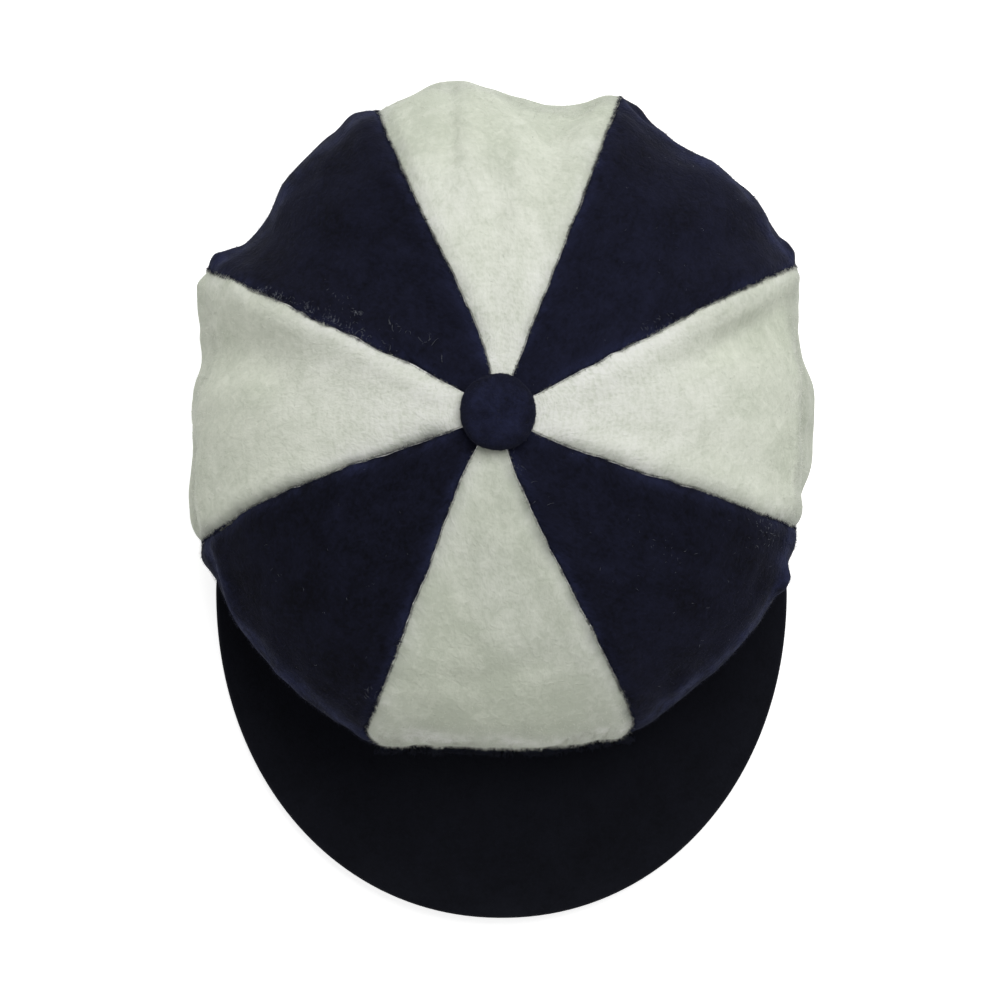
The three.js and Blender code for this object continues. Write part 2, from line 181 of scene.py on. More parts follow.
# Fine creases, each a line over one panel from a place to another. width and depth are shares of the crown's
# reach, and below 0 the depth makes a ridge.
Crease = namedtuple("Crease", "panel across along to_across to_along width depth")
CREASES = (
    Crease("back", 0.69, 0.62, 0.75, 0.43, 0.035, 0.024),
    Crease("back", 0.87, 0.6, 0.87, 0.46, 0.06, -0.008),
    Crease("back", 0.5, 0.38, 0.54, 0.28, 0.05, 0.009),
    Crease("back", 0.36, 0.52, 0.42, 0.24, 0.05, -0.007),
    Crease("back", 0.16, 0.62, 0.22, 0.5, 0.06, 0.015),
    Crease("right", 0.88, 0.6, 0.78, 0.42, 0.035, 0.013),
    Crease("right", 0.78, 0.42, 0.72, 0.33, 0.035, 0.009),
    Crease("right", 0.82, 0.64, 0.74, 0.42, 0.11, 0.015),
    Crease("right", 0.3, 0.5, 0.5, 0.28, 0.06, -0.006),
    Crease("left", 0.3, 0.6, 0.33, 0.42, 0.09, 0.018),
    Crease("left", 0.38, 0.42, 0.45, 0.28, 0.07, 0.008),
    Crease("left", 0.93, 0.3, 0.97, 0.16, 0.05, 0.012),
    Crease("front", 0.7, 0.42, 0.3, 0.46, 0.045, 0.008),
    Crease("front", 0.3, 0.28, 0.25, 0.44, 0.05, 0.006),
    Crease("front", 0.62, 0.25, 0.45, 0.36, 0.05, -0.007),
    Crease("back_right", 0.2, 0.58, 0.3, 0.4, 0.05, 0.012),
    Crease("back_left", 0.45, 0.56, 0.5, 0.3, 0.06, 0.012),
    Crease("front_left", 0.25, 0.56, 0.35, 0.4, 0.05, 0.008),
    Crease("front_left", 0.02, 0.57, 0.3, 0.625, 0.04, -0.009),
    Crease("front_left", 0.0, 0.615, 0.24, 0.655, 0.03, 0.004),
    Crease("front_right", 0.7, 0.55, 0.6, 0.36, 0.05, 0.008),
    Crease("left", 0.66, 0.66, 0.92, 0.66, 0.05, 0.026),
    Crease("left", 0.04, 0.66, 0.22, 0.66, 0.05, -0.019),
    Crease("back_left", 0.88, 0.65, 0.97, 0.65, 0.04, -0.02),
    Crease("right", 0.4, 0.66, 0.66, 0.66, 0.05, 0.018),
    Crease("back", 0.7, 0.65, 0.9, 0.65, 0.04, 0.011),
    Crease("back", 0.7, 0.65, 0.75, 0.65, 0.035, 0.01),
    Crease("back_right", 0.88, 0.65, 0.96, 0.65, 0.04, 0.021),
    Crease("front_right", 0.78, 0.645, 0.81, 0.655, 0.035, -0.034),
    Crease("back_right", 0.17, 0.64, 0.18, 0.67, 0.03, 0.01),
    Crease("back_right", 0.04, 0.65, 0.09, 0.66, 0.03, -0.014),
)

# Places where pale lint has caught on the navy wool. spread is a share of a panel, and length and radius are
# those of its fibres, in metres.
Lint = namedtuple("Lint", "panel across along spread count length radius")
LINT = (
    Lint("back_left", 0.975, 0.45, 0.012, 16, 0.9 * MM, 0.05 * MM),
    Lint("back_left", 0.972, 0.42, 0.014, 30, 0.9 * MM, 0.055 * MM),
    Lint("back_left", 0.968, 0.39, 0.014, 10, 0.9 * MM, 0.05 * MM),
    Lint("back_left", 0.966, 0.36, 0.016, 28, 1.0 * MM, 0.055 * MM),
    Lint("back_left", 0.962, 0.33, 0.016, 40, 1.0 * MM, 0.055 * MM),
    Lint("back_left", 0.957, 0.3, 0.018, 12, 1.0 * MM, 0.055 * MM),
    Lint("back_left", 0.952, 0.27, 0.02, 22, 1.0 * MM, 0.05 * MM),
    Lint("back_left", 0.945, 0.23, 0.022, 16, 1.0 * MM, 0.045 * MM),
    Lint("back_left", 0.81, 0.295, 0.009, 24, 0.9 * MM, 0.06 * MM),
    Lint("back_left", 0.73, 0.24, 0.012, 7, 2.6 * MM, 0.05 * MM),
    Lint("back_left", 0.62, 0.18, 0.02, 7, 2.8 * MM, 0.05 * MM),
    Lint("back_left", 0.87, 0.32, 0.06, 30, 0.9 * MM, 0.035 * MM),
    Lint("front_right", 0.1, 0.14, 0.06, 14, 2.2 * MM, 0.035 * MM),
    Lint("front_right", 0.93, 0.52, 0.04, 40, 0.9 * MM, 0.045 * MM),
    Lint("front_right", 0.6, 0.36, 0.03, 12, 0.8 * MM, 0.05 * MM),
    Lint("back_right", 0.06, 0.3, 0.03, 20, 1.2 * MM, 0.04 * MM),
    Lint("front_left", 0.97, 0.5, 0.02, 8, 2.2 * MM, 0.035 * MM),
    Lint("front_left", 0.5, 0.4, 0.25, 26, 0.9 * MM, 0.035 * MM),
    Lint("front_right", 0.5, 0.38, 0.25, 34, 0.9 * MM, 0.035 * MM),
    Lint("back_right", 0.5, 0.4, 0.25, 30, 0.9 * MM, 0.035 * MM),
)

# The button's outline, from the shank's end inside the crown to the middle of its top. out is a share of its
# radius, and up a share of its whole height.
Turn = namedtuple("Turn", "place out up")
BUTTON_OUTLINE = (
    Turn("end of the shank", 0, 0),
    Turn("edge of the shank", 0.19, 0.01),
    Turn("shank", 0.21, 0.12),
    Turn("root", 0.3, 0.245),
    Turn("base", 0.72, 0.262),
    Turn("lower edge", 0.93, 0.34),
    Turn("widest", 1.0, 0.53),
    Turn("upper edge", 0.94, 0.74),
    Turn("shoulder", 0.72, 0.89),
    Turn("crown", 0.38, 0.975),
    Turn("middle", 0, 1),
)


def setting(kind, **fixed):
    """A maker of properties of one kind, each with its own name, description and default."""

    def made(name, description, default):
        return kind(name=name, description=description, default=default, **fixed)

    return made


metres = setting(FloatProperty, unit="LENGTH")
radians = setting(FloatProperty, unit="ROTATION")
watts = setting(FloatProperty, unit="POWER")
shade = setting(FloatVectorProperty, subtype="COLOR")
number = setting(FloatProperty)
whole = setting(IntProperty)


class CapCrownSizes(bpy.types.PropertyGroup):
    """Sizes of the crown's cloth and seams"""

    reach: metres("Reach", "From the button's axis to a seam, where the crown is widest", 104 * MM)
    height: metres(
        "Height", "From the table to the cloth under the button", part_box("crown_panel_right")[1].z)
    sag: metres("Sag", "How far the middle of a panel hangs below the line between its seams", 2.4 * MM)
    rim_half_width: metres("Rim Half Width", "Half the width of the oval rim, over the cloth", 87.5 * MM)
    rim_half_length: metres("Rim Half Length", "Half the length of the oval rim, over the cloth", 98 * MM)
    rim_forward: metres("Rim Forward", "How far the rim's middle lies in front of the button", 2 * MM)
    wool: metres("Wool", "Thickness of the cloth", 2 * MM)
    hem_turning: metres("Hem Turning", "What the turned-up hem adds to the cloth's thickness", 0.9 * MM)
    hem_roll: metres("Hem Roll", "Radius of the turn at the cloth's lower edge", 1.1 * MM)
    cloth_length: metres("Cloth Length", "Length of a panel's cloth from the eyelet to the rim", 170 * MM)
    seam_gap: metres("Seam Gap", "Gap between neighbouring panels in a seam", 0.12 * MM)
    seam_wander: metres("Seam Wander", "How far a seam strays from its line", 1.2 * MM)
    cream_roll: metres("Cream Roll", "Radius of the cream cloth's turn into a seam", 0.55 * MM)
    navy_roll: metres("Navy Roll", "Radius of the navy cloth's turn into a seam", 0.85 * MM)
    groove: metres("Groove", "How far the cloth sinks towards every seam", 0.55 * MM)
    groove_width: metres("Groove Width", "Distance over which the groove fades", 1.8 * MM)
    dip_width: metres("Dip Width", "Distance over which a seam's own dip fades", 2.9 * MM)
    painted_shade_width: metres("Soil Width", "Distance over which the cream wool is dark beside a seam", 2.8 * MM)
    puff: metres("Puff", "How far the cloth folded under along a seam lifts the face", 0.8 * MM)
    puff_width: metres("Puff Width", "Half the width of the raised band along a seam", 4 * MM)
    pucker: metres("Pucker", "Height of the puckers along the seams", 0.5 * MM)
    pucker_width: metres("Pucker Width", "Distance over which the puckers fade", 6 * MM)
    ripple: metres("Ripple", "Height of the soft unevenness all over", 0.8 * MM)
    scallop: metres("Scallop", "Height of the small folds round the shoulder", 0.85 * MM)
    wall_folds: metres("Wall Folds", "Height of the upright folds between shoulder and rim", 2.2 * MM)
    strips: whole("Strips", "Faces across a panel", 84)
    rows: whole("Rows", "Faces from the eyelet to the rim", 140)


class CapPeakSizes(bpy.types.PropertyGroup):
    """Sizes of the peak and of the button"""

    half_width: metres("Half Width", "Half the peak's width", (PEAK_HIGH.x - PEAK_LOW.x) / 2)
    aside: metres(
        "Aside", "How far the peak's middle lies to the right of the button",
        (PEAK_HIGH.x + PEAK_LOW.x) / 2 - AXIS[0])
    tip: metres("Tip", "From the button's axis to the tip of the peak", AXIS[1] - PEAK_LOW.y)
    widest: metres("Widest", "How far in front of the rim's middle the peak is widest", 53.5 * MM)
    roundness: number("Roundness", "2 makes the outer edge an ellipse, more makes it squarer", 2.07)
    cover: metres("Cover", "Thickness of each cloth cover", 1.7 * MM)
    cover_gap: metres("Cover Gap", "Gap between the two covers", 0.3 * MM)
    seat_gap: metres("Seat Gap", "Gap between the peak and the hem on it", 0.3 * MM)
    arch: metres("Arch", "Rise of the inner edge, from the ends to the middle", 14 * MM)
    arch_power: number("Arch Power", "1 makes the arch a half wave, more makes its feet flatter", 1.4)
    tip_rise: metres("Tip Rise", "Rise of the outer edge, from the ends to the tip", 7 * MM)
    fullness: metres("Fullness", "How far the peak is domed between its edges", 1.6 * MM)
    end: radians("End", "Angle in front of the X axis where each end of the peak lies", math.radians(22))
    corner: radians("Corner", "Angle over which each rear corner is rounded", math.radians(9))
    hem_rest: radians("Hem Rest", "Angle that the hem stays level past the peak's end", math.radians(4))
    hem_fall: radians("Hem Fall", "Angle over which the hem then comes down", math.radians(11))
    strips: whole("Strips", "Faces round the peak", 180)
    rows: whole("Rows", "Faces from the inner to the outer edge", 48)
    button_pleats: whole("Button Pleats", "Gathers of the cloth under the button's edge", 17)


class CapWool(bpy.types.PropertyGroup):
    """Colours of the wool and amounts of loose fibre"""

    # Each wool has a lit colour and a deep one, its shaded look. The grain mixes between them, and the tone
    # mark moves the mix as painted shade and light.
    cream: shade("Cream", "Lit nap of the cream wool", (0.69, 0.716, 0.615))
    cream_deep: shade("Cream Deep", "Cream wool down between its fibres", (0.50, 0.536, 0.44))
    # The rubbed colours mix in where the nap is rubbed up, and also serve as a painted sheen highlight
    # beside the seams and over the shoulder.
    cream_rubbed: shade("Cream Rubbed", "Cream nap that is rubbed up", (0.765, 0.775, 0.73))
    # Painted shade: the dark colour that the cream wool is mixed towards beside seams and under the
    # shoulder.
    painted_shade_colour: shade("Soiled", "Dust and navy fibre worked into the cream wool", (0.12, 0.13, 0.115))
    navy: shade("Navy", "Lit nap of the navy wool", (0.0088, 0.0096, 0.022))
    navy_deep: shade("Navy Deep", "Navy wool down between its fibres", (0.003, 0.0031, 0.0062))
    navy_rubbed: shade("Navy Rubbed", "Navy nap that is rubbed up", (0.0165, 0.0195, 0.05))
    peak: shade("Peak", "Lit nap of the peak's wool", (0.0058, 0.0063, 0.0105))
    peak_deep: shade("Peak Deep", "Peak's wool down between its fibres", (0.0028, 0.003, 0.0046))
    peak_rubbed: shade("Peak Rubbed", "Nap along the peak's outer edge", (0.0075, 0.0082, 0.0125))
    lint: shade("Lint", "Pale fibres caught on the dark wool", (0.25, 0.27, 0.31))
    # Partly painted light: the fluff is coloured paler than the navy wool so that it shows in the crown's
    # shadow.
    fluff: shade("Fluff", "Loose navy wool caught on the peak", (0.036, 0.043, 0.09))
    thread_pitch: number("Thread Pitch", "Distance between threads in millimetres", 1.5)
    seam_fibres: whole("Seam Fibres", "Fibres that stand across the seams, of each wool", 12500)
    shoulder_fibres: whole("Shoulder Fibres", "Fibres of the nap round the outline, of each wool", 6000)
    button_fibres: whole("Button Fibres", "Fibres of the nap on the button", 2600)
    fluff_fibres: whole("Fluff Fibres", "Fibres of the loose wool on the peak", 4200)
    tuft_fibres: whole("Tuft Fibres", "Fibres that stand out from the front fold", 1700)
    specks: whole("Specks", "Dark fibres caught on the cream wool", 260)


class CapStage(bpy.types.PropertyGroup):
    """The camera, the lights and the floor"""

    camera_height: metres("Camera Height", "From the table to the camera", 1.1)
    camera_right: metres("Camera Right", "How far the camera is to the right of the button", 0.6 * MM)
    camera_forward: metres("Camera Forward", "How far the camera is in front of the button", 26.4 * MM)
    frame_width: metres("Frame Width", "Width of the table that the picture shows", 0.33)
    key_watts: watts("Key Light", "Power of the large light behind the crown", 15.2)
    top_watts: watts("Top Light", "Power of the large light overhead", 2.5)
    sky: number("Sky", "Strength of the even light from all round", 0.285)
    floor_glow: number("Floor Glow", "Light that comes up through the white table", 0.7)


def step(value, low, high):
    """A smooth rise from 0 at low to 1 at high."""
    share = np.clip((value - low) / (high - low), 0, 1)
    return share * share * (3 - 2 * share)


def stretch(place, form):
    """From 0 to 1, how far a form of the table of stretches shows at a place."""
    starts, full, fades, gone = STRETCHES[form]
    return step(place, starts, full) * (1 - step(place, fades, gone))


def bell(value, width):
    """1 at 0, and smoothly less to both sides, over about a width."""
    return np.exp(-((value / width) ** 2))


def blend(low, high, share):
    return low + (high - low) * share


def unit(vectors):
    return vectors / np.linalg.norm(vectors, axis=-1, keepdims=True)


def round_axis(reach, azimuth, height):
    """Points at a reach from the button's axis, at an azimuth in radians."""
    return AXIS + np.stack([reach * np.cos(azimuth), reach * np.sin(azimuth), height], axis=-1)


def reach_of(points):
    return np.linalg.norm((points - AXIS)[..., :2], axis=-1)


def curve_through(rows, share):
    """Points of a smooth curve through the rows of a table, for shares from 0 to 1 of its spans."""
    points = np.array([[value for value in row if not isinstance(value, str)] for row in rows], float)
    ends = 2 * points[0] - points[1], 2 * points[-1] - points[-2]
    points = np.vstack([ends[0], points, ends[1]])
    spans = len(rows) - 1
    place = np.clip(share, 0, 1) * spans
    index = np.minimum(place.astype(int), spans - 1)
    t = (place - index)[..., None]
    before, start, stop, after = (points[index + k] for k in range(4))
    return 0.5 * (
        2 * start
        + (stop - before) * t
        + (2 * before - 5 * start + 4 * stop - after) * t**2
        + (3 * start - before - 3 * stop + after) * t**3
    )


def seam_values(column, index):
    values = np.array([getattr(seam, column) for seam in SEAMS], float)[index % len(SEAMS)]
    return values + 360 * (index // len(SEAMS)) if column == "azimuth" else values


def panel_values(column, index):
    return np.array([getattr(panel, column) for panel in PANELS], float)[index % len(PANELS)]


def rim_reach(azimuth):
    """Reach of the rim's oval at an azimuth in radians."""
    sizes = bpy.context.scene.cap_crown
    across, ahead = np.cos(azimuth), np.sin(azimuth)
    a = (across / sizes.rim_half_width) ** 2 + (ahead / sizes.rim_half_length) ** 2
    b = 2 * sizes.rim_forward * ahead / sizes.rim_half_length**2
    c = (sizes.rim_forward / sizes.rim_half_length) ** 2 - 1
    return (-b + np.sqrt(b * b - 4 * a * c)) / (2 * a)


def shoulder_reach(index, across):
    """Reach of the crown where it is widest: straight from seam to seam, and then bellied."""
    reach = bpy.context.scene.cap_crown.reach
    azimuths = [np.radians(seam_values("azimuth", index + k)) for k in (0, 1)]
    corners = [
        seam_values("reach", index + k) * reach * np.array([np.cos(azimuths[k]), np.sin(azimuths[k])])
        for k in (0, 1)
    ]
    azimuth = blend(azimuths[0], azimuths[1], across)
    chord = corners[1] - corners[0]
    straight = (corners[0][0] * chord[1] - corners[0][1] * chord[0]) / (
        np.cos(azimuth) * chord[1] - np.sin(azimuth) * chord[0]
    )
    belly, lean = panel_values("belly", index), panel_values("lean", index)
    return straight + reach * (belly * np.sin(np.pi * across) + lean * np.sin(2 * np.pi * across))


def from_front(azimuth):
    """Radians from the front, between -pi and pi."""
    return (azimuth + 1.5 * np.pi) % (2 * np.pi) - np.pi


def arch_share(azimuth):
    """From 0 at each end of the peak to 1 in its middle, and 0 past the ends."""
    sizes = bpy.context.scene.cap_peak
    half = math.pi / 2 - sizes.end
    from_end = np.clip((half - np.abs(from_front(azimuth))) / half, 0, 1)
    return np.sin(math.pi / 2 * from_end) ** sizes.arch_power


def hem_height(azimuth):
    """Height of the crown's lower edge: on the peak at the front, and on the table elsewhere."""
    sizes = bpy.context.scene.cap_peak
    past_end = np.abs(from_front(azimuth)) - (math.pi / 2 - sizes.end)
    on_peak = 2 * sizes.cover + sizes.cover_gap + sizes.seat_gap
    fallen = step(past_end, sizes.hem_rest, sizes.hem_rest + sizes.hem_fall)
    return sizes.arch * arch_share(azimuth) + on_peak * (1 - fallen)


def crown_azimuth(girth, outward, along):
    """Azimuth of a place in radians, between seams that swing, bow and tuck away from straight lines."""
    index = np.floor(girth).astype(int)
    lines = []
    for k in (0, 1):
        azimuth, swing, bow, tuck = (
            seam_values(column, index + k) for column in ("azimuth", "swing", "bow", "tuck")
        )
        near = swing * (1 - outward) ** 3 + 4 * bow * outward * (1 - outward)
        lines.append(azimuth + near + tuck * stretch(along, "tuck"))
    return np.radians(blend(lines[0], lines[1], girth - index))


def fold_depth(girth, along):
    """How deep the folds are pressed in at a place, in metres."""
    half = len(PANELS) / 2
    total = np.zeros(np.broadcast(girth, along).shape)
    for fold in FOLDS:
        centre = PANEL_INDEX[fold.panel] + fold.across
        aside = ((girth - centre + half) % len(PANELS) - half) / fold.width
        total = total + fold.depth * np.exp(-(aside**2) - ((along - fold.along) / fold.length) ** 2)
    return total * bpy.context.scene.cap_crown.reach


def plain_crown(girth, along):
    """The crown's face before its folds are pressed in."""
    sizes = bpy.context.scene.cap_crown
    shoulder, rim, up = np.moveaxis(curve_through(SECTION, along), -1, 0)
    index = np.floor(girth).astype(int)
    across = girth - index
    faceted = step(shoulder + rim, 0.1, 0.9)
    widest = blend(sizes.reach, shoulder_reach(index, across), faceted)
    rim_azimuth = np.radians(
        blend(seam_values("azimuth", index), seam_values("azimuth", index + 1), across)
    )
    reach = shoulder * widest + rim * rim_reach(rim_azimuth)
    azimuth = crown_azimuth(girth, np.minimum(1, shoulder + rim), along)
    sag = sizes.sag * np.sin(np.pi * across) * stretch(along, "sag")
    return round_axis(reach, azimuth, blend(hem_height(rim_azimuth), sizes.height, up) - sag)


def facing(surface, girth, along):
    """The outward direction of a surface at a place, from small steps along and across it."""
    girth_step, along_step = 0.02, 0.008
    below = surface(girth, np.minimum(1, along + along_step))
    above = surface(girth, np.maximum(0, along - along_step))
    round_it = surface(girth + girth_step, along) - surface(girth - girth_step, along)
    return unit(np.cross(below - above, round_it))


def crown(girth, along):
    """The crown's face with its main folds, which fade out at the rim and under the button."""
    depth = stretch(along, "fold") * fold_depth(girth, along)
    return plain_crown(girth, along) - depth[..., None] * facing(plain_crown, girth, along)


def uneven(points, what):
    """Smooth noise between -1 and 1 at each point, for what it makes uneven."""
    wavelength, seed = NOISES[what]
    shift = Vector((seed * 7.3, seed * 3.1, seed * 5.7))
    flat = points.reshape(-1, 3) / wavelength
    return np.array([noise.noise(Vector(place) + shift) for place in flat]).reshape(points.shape[:-1])


def panel_width(girth, along):
    """Width of the panel at a place, across its cloth."""
    index = np.floor(girth).astype(int)
    span = np.radians(seam_values("azimuth", index + 1) - seam_values("azimuth", index))
    return span * reach_of(crown(index + 0.5, along))


def turned_edge(distance, radius):
    """How far a face has turned down at a distance from its edge, on a quarter circle."""
    inside = np.clip(radius - distance, 0, radius)
    return radius - np.sqrt(np.maximum(radius**2 - inside**2, 0))


def seam_distance(girth, along):
    """How far a place lies from the nearer seam over the cloth, and the panel's width there."""
    width = panel_width(girth, along)
    across = girth - np.floor(girth)
    return np.minimum(across, 1 - across) * width, width


def is_cream(girth):
    cream = np.array([panel.wool == "cream_wool" for panel in PANELS])
    return cream[np.floor(girth).astype(int) % len(PANELS)]


def beside_seams(column, girth, along, fade):
    """A column of the seams' table for the seams on both sides of a place, faded with their distance."""
    index = np.floor(girth).astype(int)
    width = panel_width(girth, along)
    across = girth - index
    near = seam_values(column, index) * fade(across * width)
    far = seam_values(column, index + 1) * fade((1 - across) * width)
    return (near + far) * step(width, 6 * MM, 20 * MM)


def seam_dip(girth, along):
    """How far the cloth has sunk towards its seams at a place, in metres. Navy sinks less than cream."""
    span = bpy.context.scene.cap_crown.dip_width
    dip = beside_seams("dip", girth, along, lambda distance: np.exp(-distance / span))
    return np.where(is_cream(girth), 1, 0.6) * dip


def seam_painted_shade(girth, along):
    """From 0 to 1, painted shade on the cream wool beside its seams, less on the lip of each seam."""
    sizes = bpy.context.scene.cap_crown
    soil = beside_seams("soil", girth, along, lambda distance: bell(distance, sizes.painted_shade_width))
    edge, _ = seam_distance(girth, along)
    lip = 0.55 * bell(edge, sizes.cream_roll)
    return np.where(is_cream(girth), soil * (1 - lip), 0)


def laid_flat(across, along, width):
    """A place on a panel's cloth when it is laid flat, in metres."""
    return np.stack([(across - 0.5) * width, along * bpy.context.scene.cap_crown.cloth_length], axis=-1)


def crease_depth(girth, along):
    """How deep the fine creases are pressed in at a place, in metres."""
    sizes = bpy.context.scene.cap_crown
    index = np.floor(girth).astype(int)
    place = laid_flat(girth - index, along, panel_width(girth, along))
    total = np.zeros(girth.shape)
    for crease in CREASES:
        panel = PANEL_INDEX[crease.panel]
        ends = []
        for across, end_along in ((crease.across, crease.along), (crease.to_across, crease.to_along)):
            width = panel_width(np.array([panel + 0.5]), np.array([end_along]))[0]
            ends.append(laid_flat(across, end_along, width))
        line = ends[1] - ends[0]
        share = np.clip((place - ends[0]) @ line / (line @ line), 0, 1)
        distance = np.linalg.norm(place - ends[0] - share[:, None] * line, axis=-1)
        pressed = crease.depth * bell(distance, crease.width * sizes.reach)
        total = total + np.where(index == panel, pressed, 0)
    return total * sizes.reach


def cloth_lift(face, girth, along):
    """How far the cloth is lifted by its unevenness and creases, and by puckers and puffs at the seams."""
    sizes = bpy.context.scene.cap_crown
    edge, _ = seam_distance(girth, along)
    lift = sizes.ripple * (uneven(face, "ripple") + 0.5 * uneven(face, "fine ripple"))
    lift = lift + sizes.scallop * stretch(along, "scallop") * uneven(face, "scallop")
    upright = face * [1, 1, 0.25]
    lift = lift + sizes.wall_folds * stretch(along, "wall fold") * uneven(upright, "wall fold")
    lift = lift - crease_depth(girth, along) * step(edge, 0, 5 * MM)
    lift = lift + sizes.pucker * uneven(face, "pucker") * np.exp(-edge / sizes.pucker_width)
    band = bell(edge - sizes.puff_width, sizes.puff_width)
    lift = lift + sizes.puff * band * (0.8 + 0.6 * uneven(face, "puff"))
    lift = lift - sizes.groove * np.exp(-edge / sizes.groove_width) - seam_dip(girth, along)
    past_button = step(reach_of(face), 11 * MM, 24 * MM)
    return lift * past_button * (1 - step(along, 0.93, 1))


def crown_cloth(girth, along):
    """The finished face of the crown: points, directions, and how far its cloth is lifted."""
    sizes = bpy.context.scene.cap_crown
    face, out = crown(girth, along), facing(crown, girth, along)
    edge, width = seam_distance(girth, along)
    lift = cloth_lift(face, girth, along)
    radius = np.where(is_cream(girth), sizes.cream_roll, sizes.navy_roll)
    roll = turned_edge(edge, np.minimum(radius, 0.45 * width))
    hem = turned_edge((1 - along) * sizes.cloth_length, sizes.hem_roll)
    return face + (lift - roll - hem)[..., None] * out, out, lift


def rubbed_nap_and_sheen(girth, along, points, beside, reach, over):
    """From 0 to 1, rubbed nap and painted sheen: beside the seams within a reach, and over the shoulder."""
    edge, _ = seam_distance(girth, along)
    ridge = 0.63 + 0.018 * uneven(points, "ridge")
    bands = np.maximum(beside * bell(edge, reach), over * bell(along - ridge, 0.031))
    patches = 0.6 + 0.8 * uneven(points, "rubbed") + 0.8 * uneven(points, "finely rubbed")
    return np.clip(bands * patches, 0, 1)


def seam_stray(index, along):
    """How far a seam strays from its line, in metres."""
    sizes = bpy.context.scene.cap_crown
    seam = 9.1 * (index % len(SEAMS))
    stray = 0
    for share, wavelength in ((0.65, 11 * MM), (0.4, 2.6 * MM)):
        place = np.stack([along * sizes.cloth_length / wavelength, seam, 0 * along], axis=-1)
        stray = stray + share * uneven(place, "stray")
    return sizes.seam_wander * stretch(along, "stray") * stray


def deselect_all():
    if bpy.context.object and bpy.context.object.mode != "OBJECT":
        bpy.ops.object.mode_set(mode="OBJECT")
    bpy.ops.object.select_all(action="DESELECT")


def apply_modifier(piece, kind, **values):
    modifier = piece.modifiers.new(kind.title(), kind)
    for name, value in values.items():
        setattr(modifier, name, value)
    bpy.context.view_layer.objects.active = piece
    bpy.ops.object.modifier_apply(modifier=modifier.name)


def cloth_blank(name, strips, rows):
    """A flat cloth of two layers, and for each point its share across and along, and if it is inside."""
    deselect_all()
    bpy.ops.mesh.primitive_grid_add(x_subdivisions=strips, y_subdivisions=rows, size=1)
    blank = bpy.context.object
    blank.name = blank.data.name = name
    apply_modifier(blank, "SOLIDIFY", thickness=0.01, offset=-1, use_even_offset=False)
    places = mesh_points(blank)
    shares = places[:, :2] + 0.5
    return blank, shares[:, 0], shares[:, 1], places[:, 2] < -0.005


def mesh_points(piece):
    places = np.empty(len(piece.data.vertices) * 3)
    piece.data.vertices.foreach_get("co", places)
    return places.reshape(-1, 3)


def shape_mesh(piece, places, flat):
    """Puts the piece's points in their places, with its UV map in metres of the flat cloth."""
    piece.data.vertices.foreach_set("co", places.ravel())
    corners = np.empty(len(piece.data.loops), int)
    piece.data.loops.foreach_get("vertex_index", corners)
    layer = piece.data.uv_layers.active or piece.data.uv_layers.new(name="UVMap")
    layer.data.foreach_set("uv", flat[corners].ravel())
    piece.data.update()


def mark_points(piece, name, amounts):
    """Stores an amount for each point, for the materials."""
    layer = piece.data.attributes.new(name, "FLOAT", "POINT")
    layer.data.foreach_set("value", amounts)


def face_outwards(piece):
    deselect_all()
    piece.select_set(True)
    bpy.context.view_layer.objects.active = piece
    bpy.ops.object.mode_set(mode="EDIT")
    bpy.ops.mesh.select_all(action="SELECT")
    bpy.ops.mesh.normals_make_consistent(inside=False)
    bpy.ops.object.mode_set(mode="OBJECT")
    bpy.ops.object.shade_smooth_by_angle(angle=math.radians(50))


def finish_piece(piece, material, slot, *nodes):
    piece.data.materials.clear()
    piece.data.materials.append(material)
    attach(piece, BODY)
    if nodes:
        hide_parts(*nodes)


def crowded(share, amount):
    """Shares from 0 to 1, drawn towards both ends."""
    return blend(share, 0.5 - 0.5 * np.cos(np.pi * share), amount)


def make_panel(index):
    """One panel of the crown, cut along its two seams."""
    sizes = bpy.context.scene.cap_crown
    panel = PANELS[index]
    piece, across, along, inside = cloth_blank(f"wool_panel_{panel.name}", sizes.strips, sizes.rows)
    across = crowded(across, 0.6)
    width = panel_width(index + 0.5 + 0 * along, along)
    start = (sizes.seam_gap / 2 + seam_stray(np.full(along.shape, index), along)) / width
    stop = 1 - (sizes.seam_gap / 2 - seam_stray(np.full(along.shape, index + 1), along)) / width
    # A seam strays out of its own panel, so the cloth is worked out as if it didn't, and is then moved.
    girth = index + np.clip(across, 1e-4, 1 - 1e-4)
    face, out, lift = crown_cloth(girth, along)
    strayed = crown(index + blend(start, stop, across), along)
    moved = strayed - crown(index + across, along)
    thickness = blend(sizes.wool, hem_thickness(), step(along, 0.88, 0.93))
    lining = strayed + (lift - thickness)[:, None] * out
    places = np.where(inside[:, None], lining, face + moved)
    at_hem = along > 1 - 1e-6
    places[at_hem, 2] = strayed[at_hem, 2]
    shape_mesh(piece, places, laid_flat(across, along, width))
    mark_panel(piece, panel, girth, along, inside)
    face_outwards(piece)
    return piece


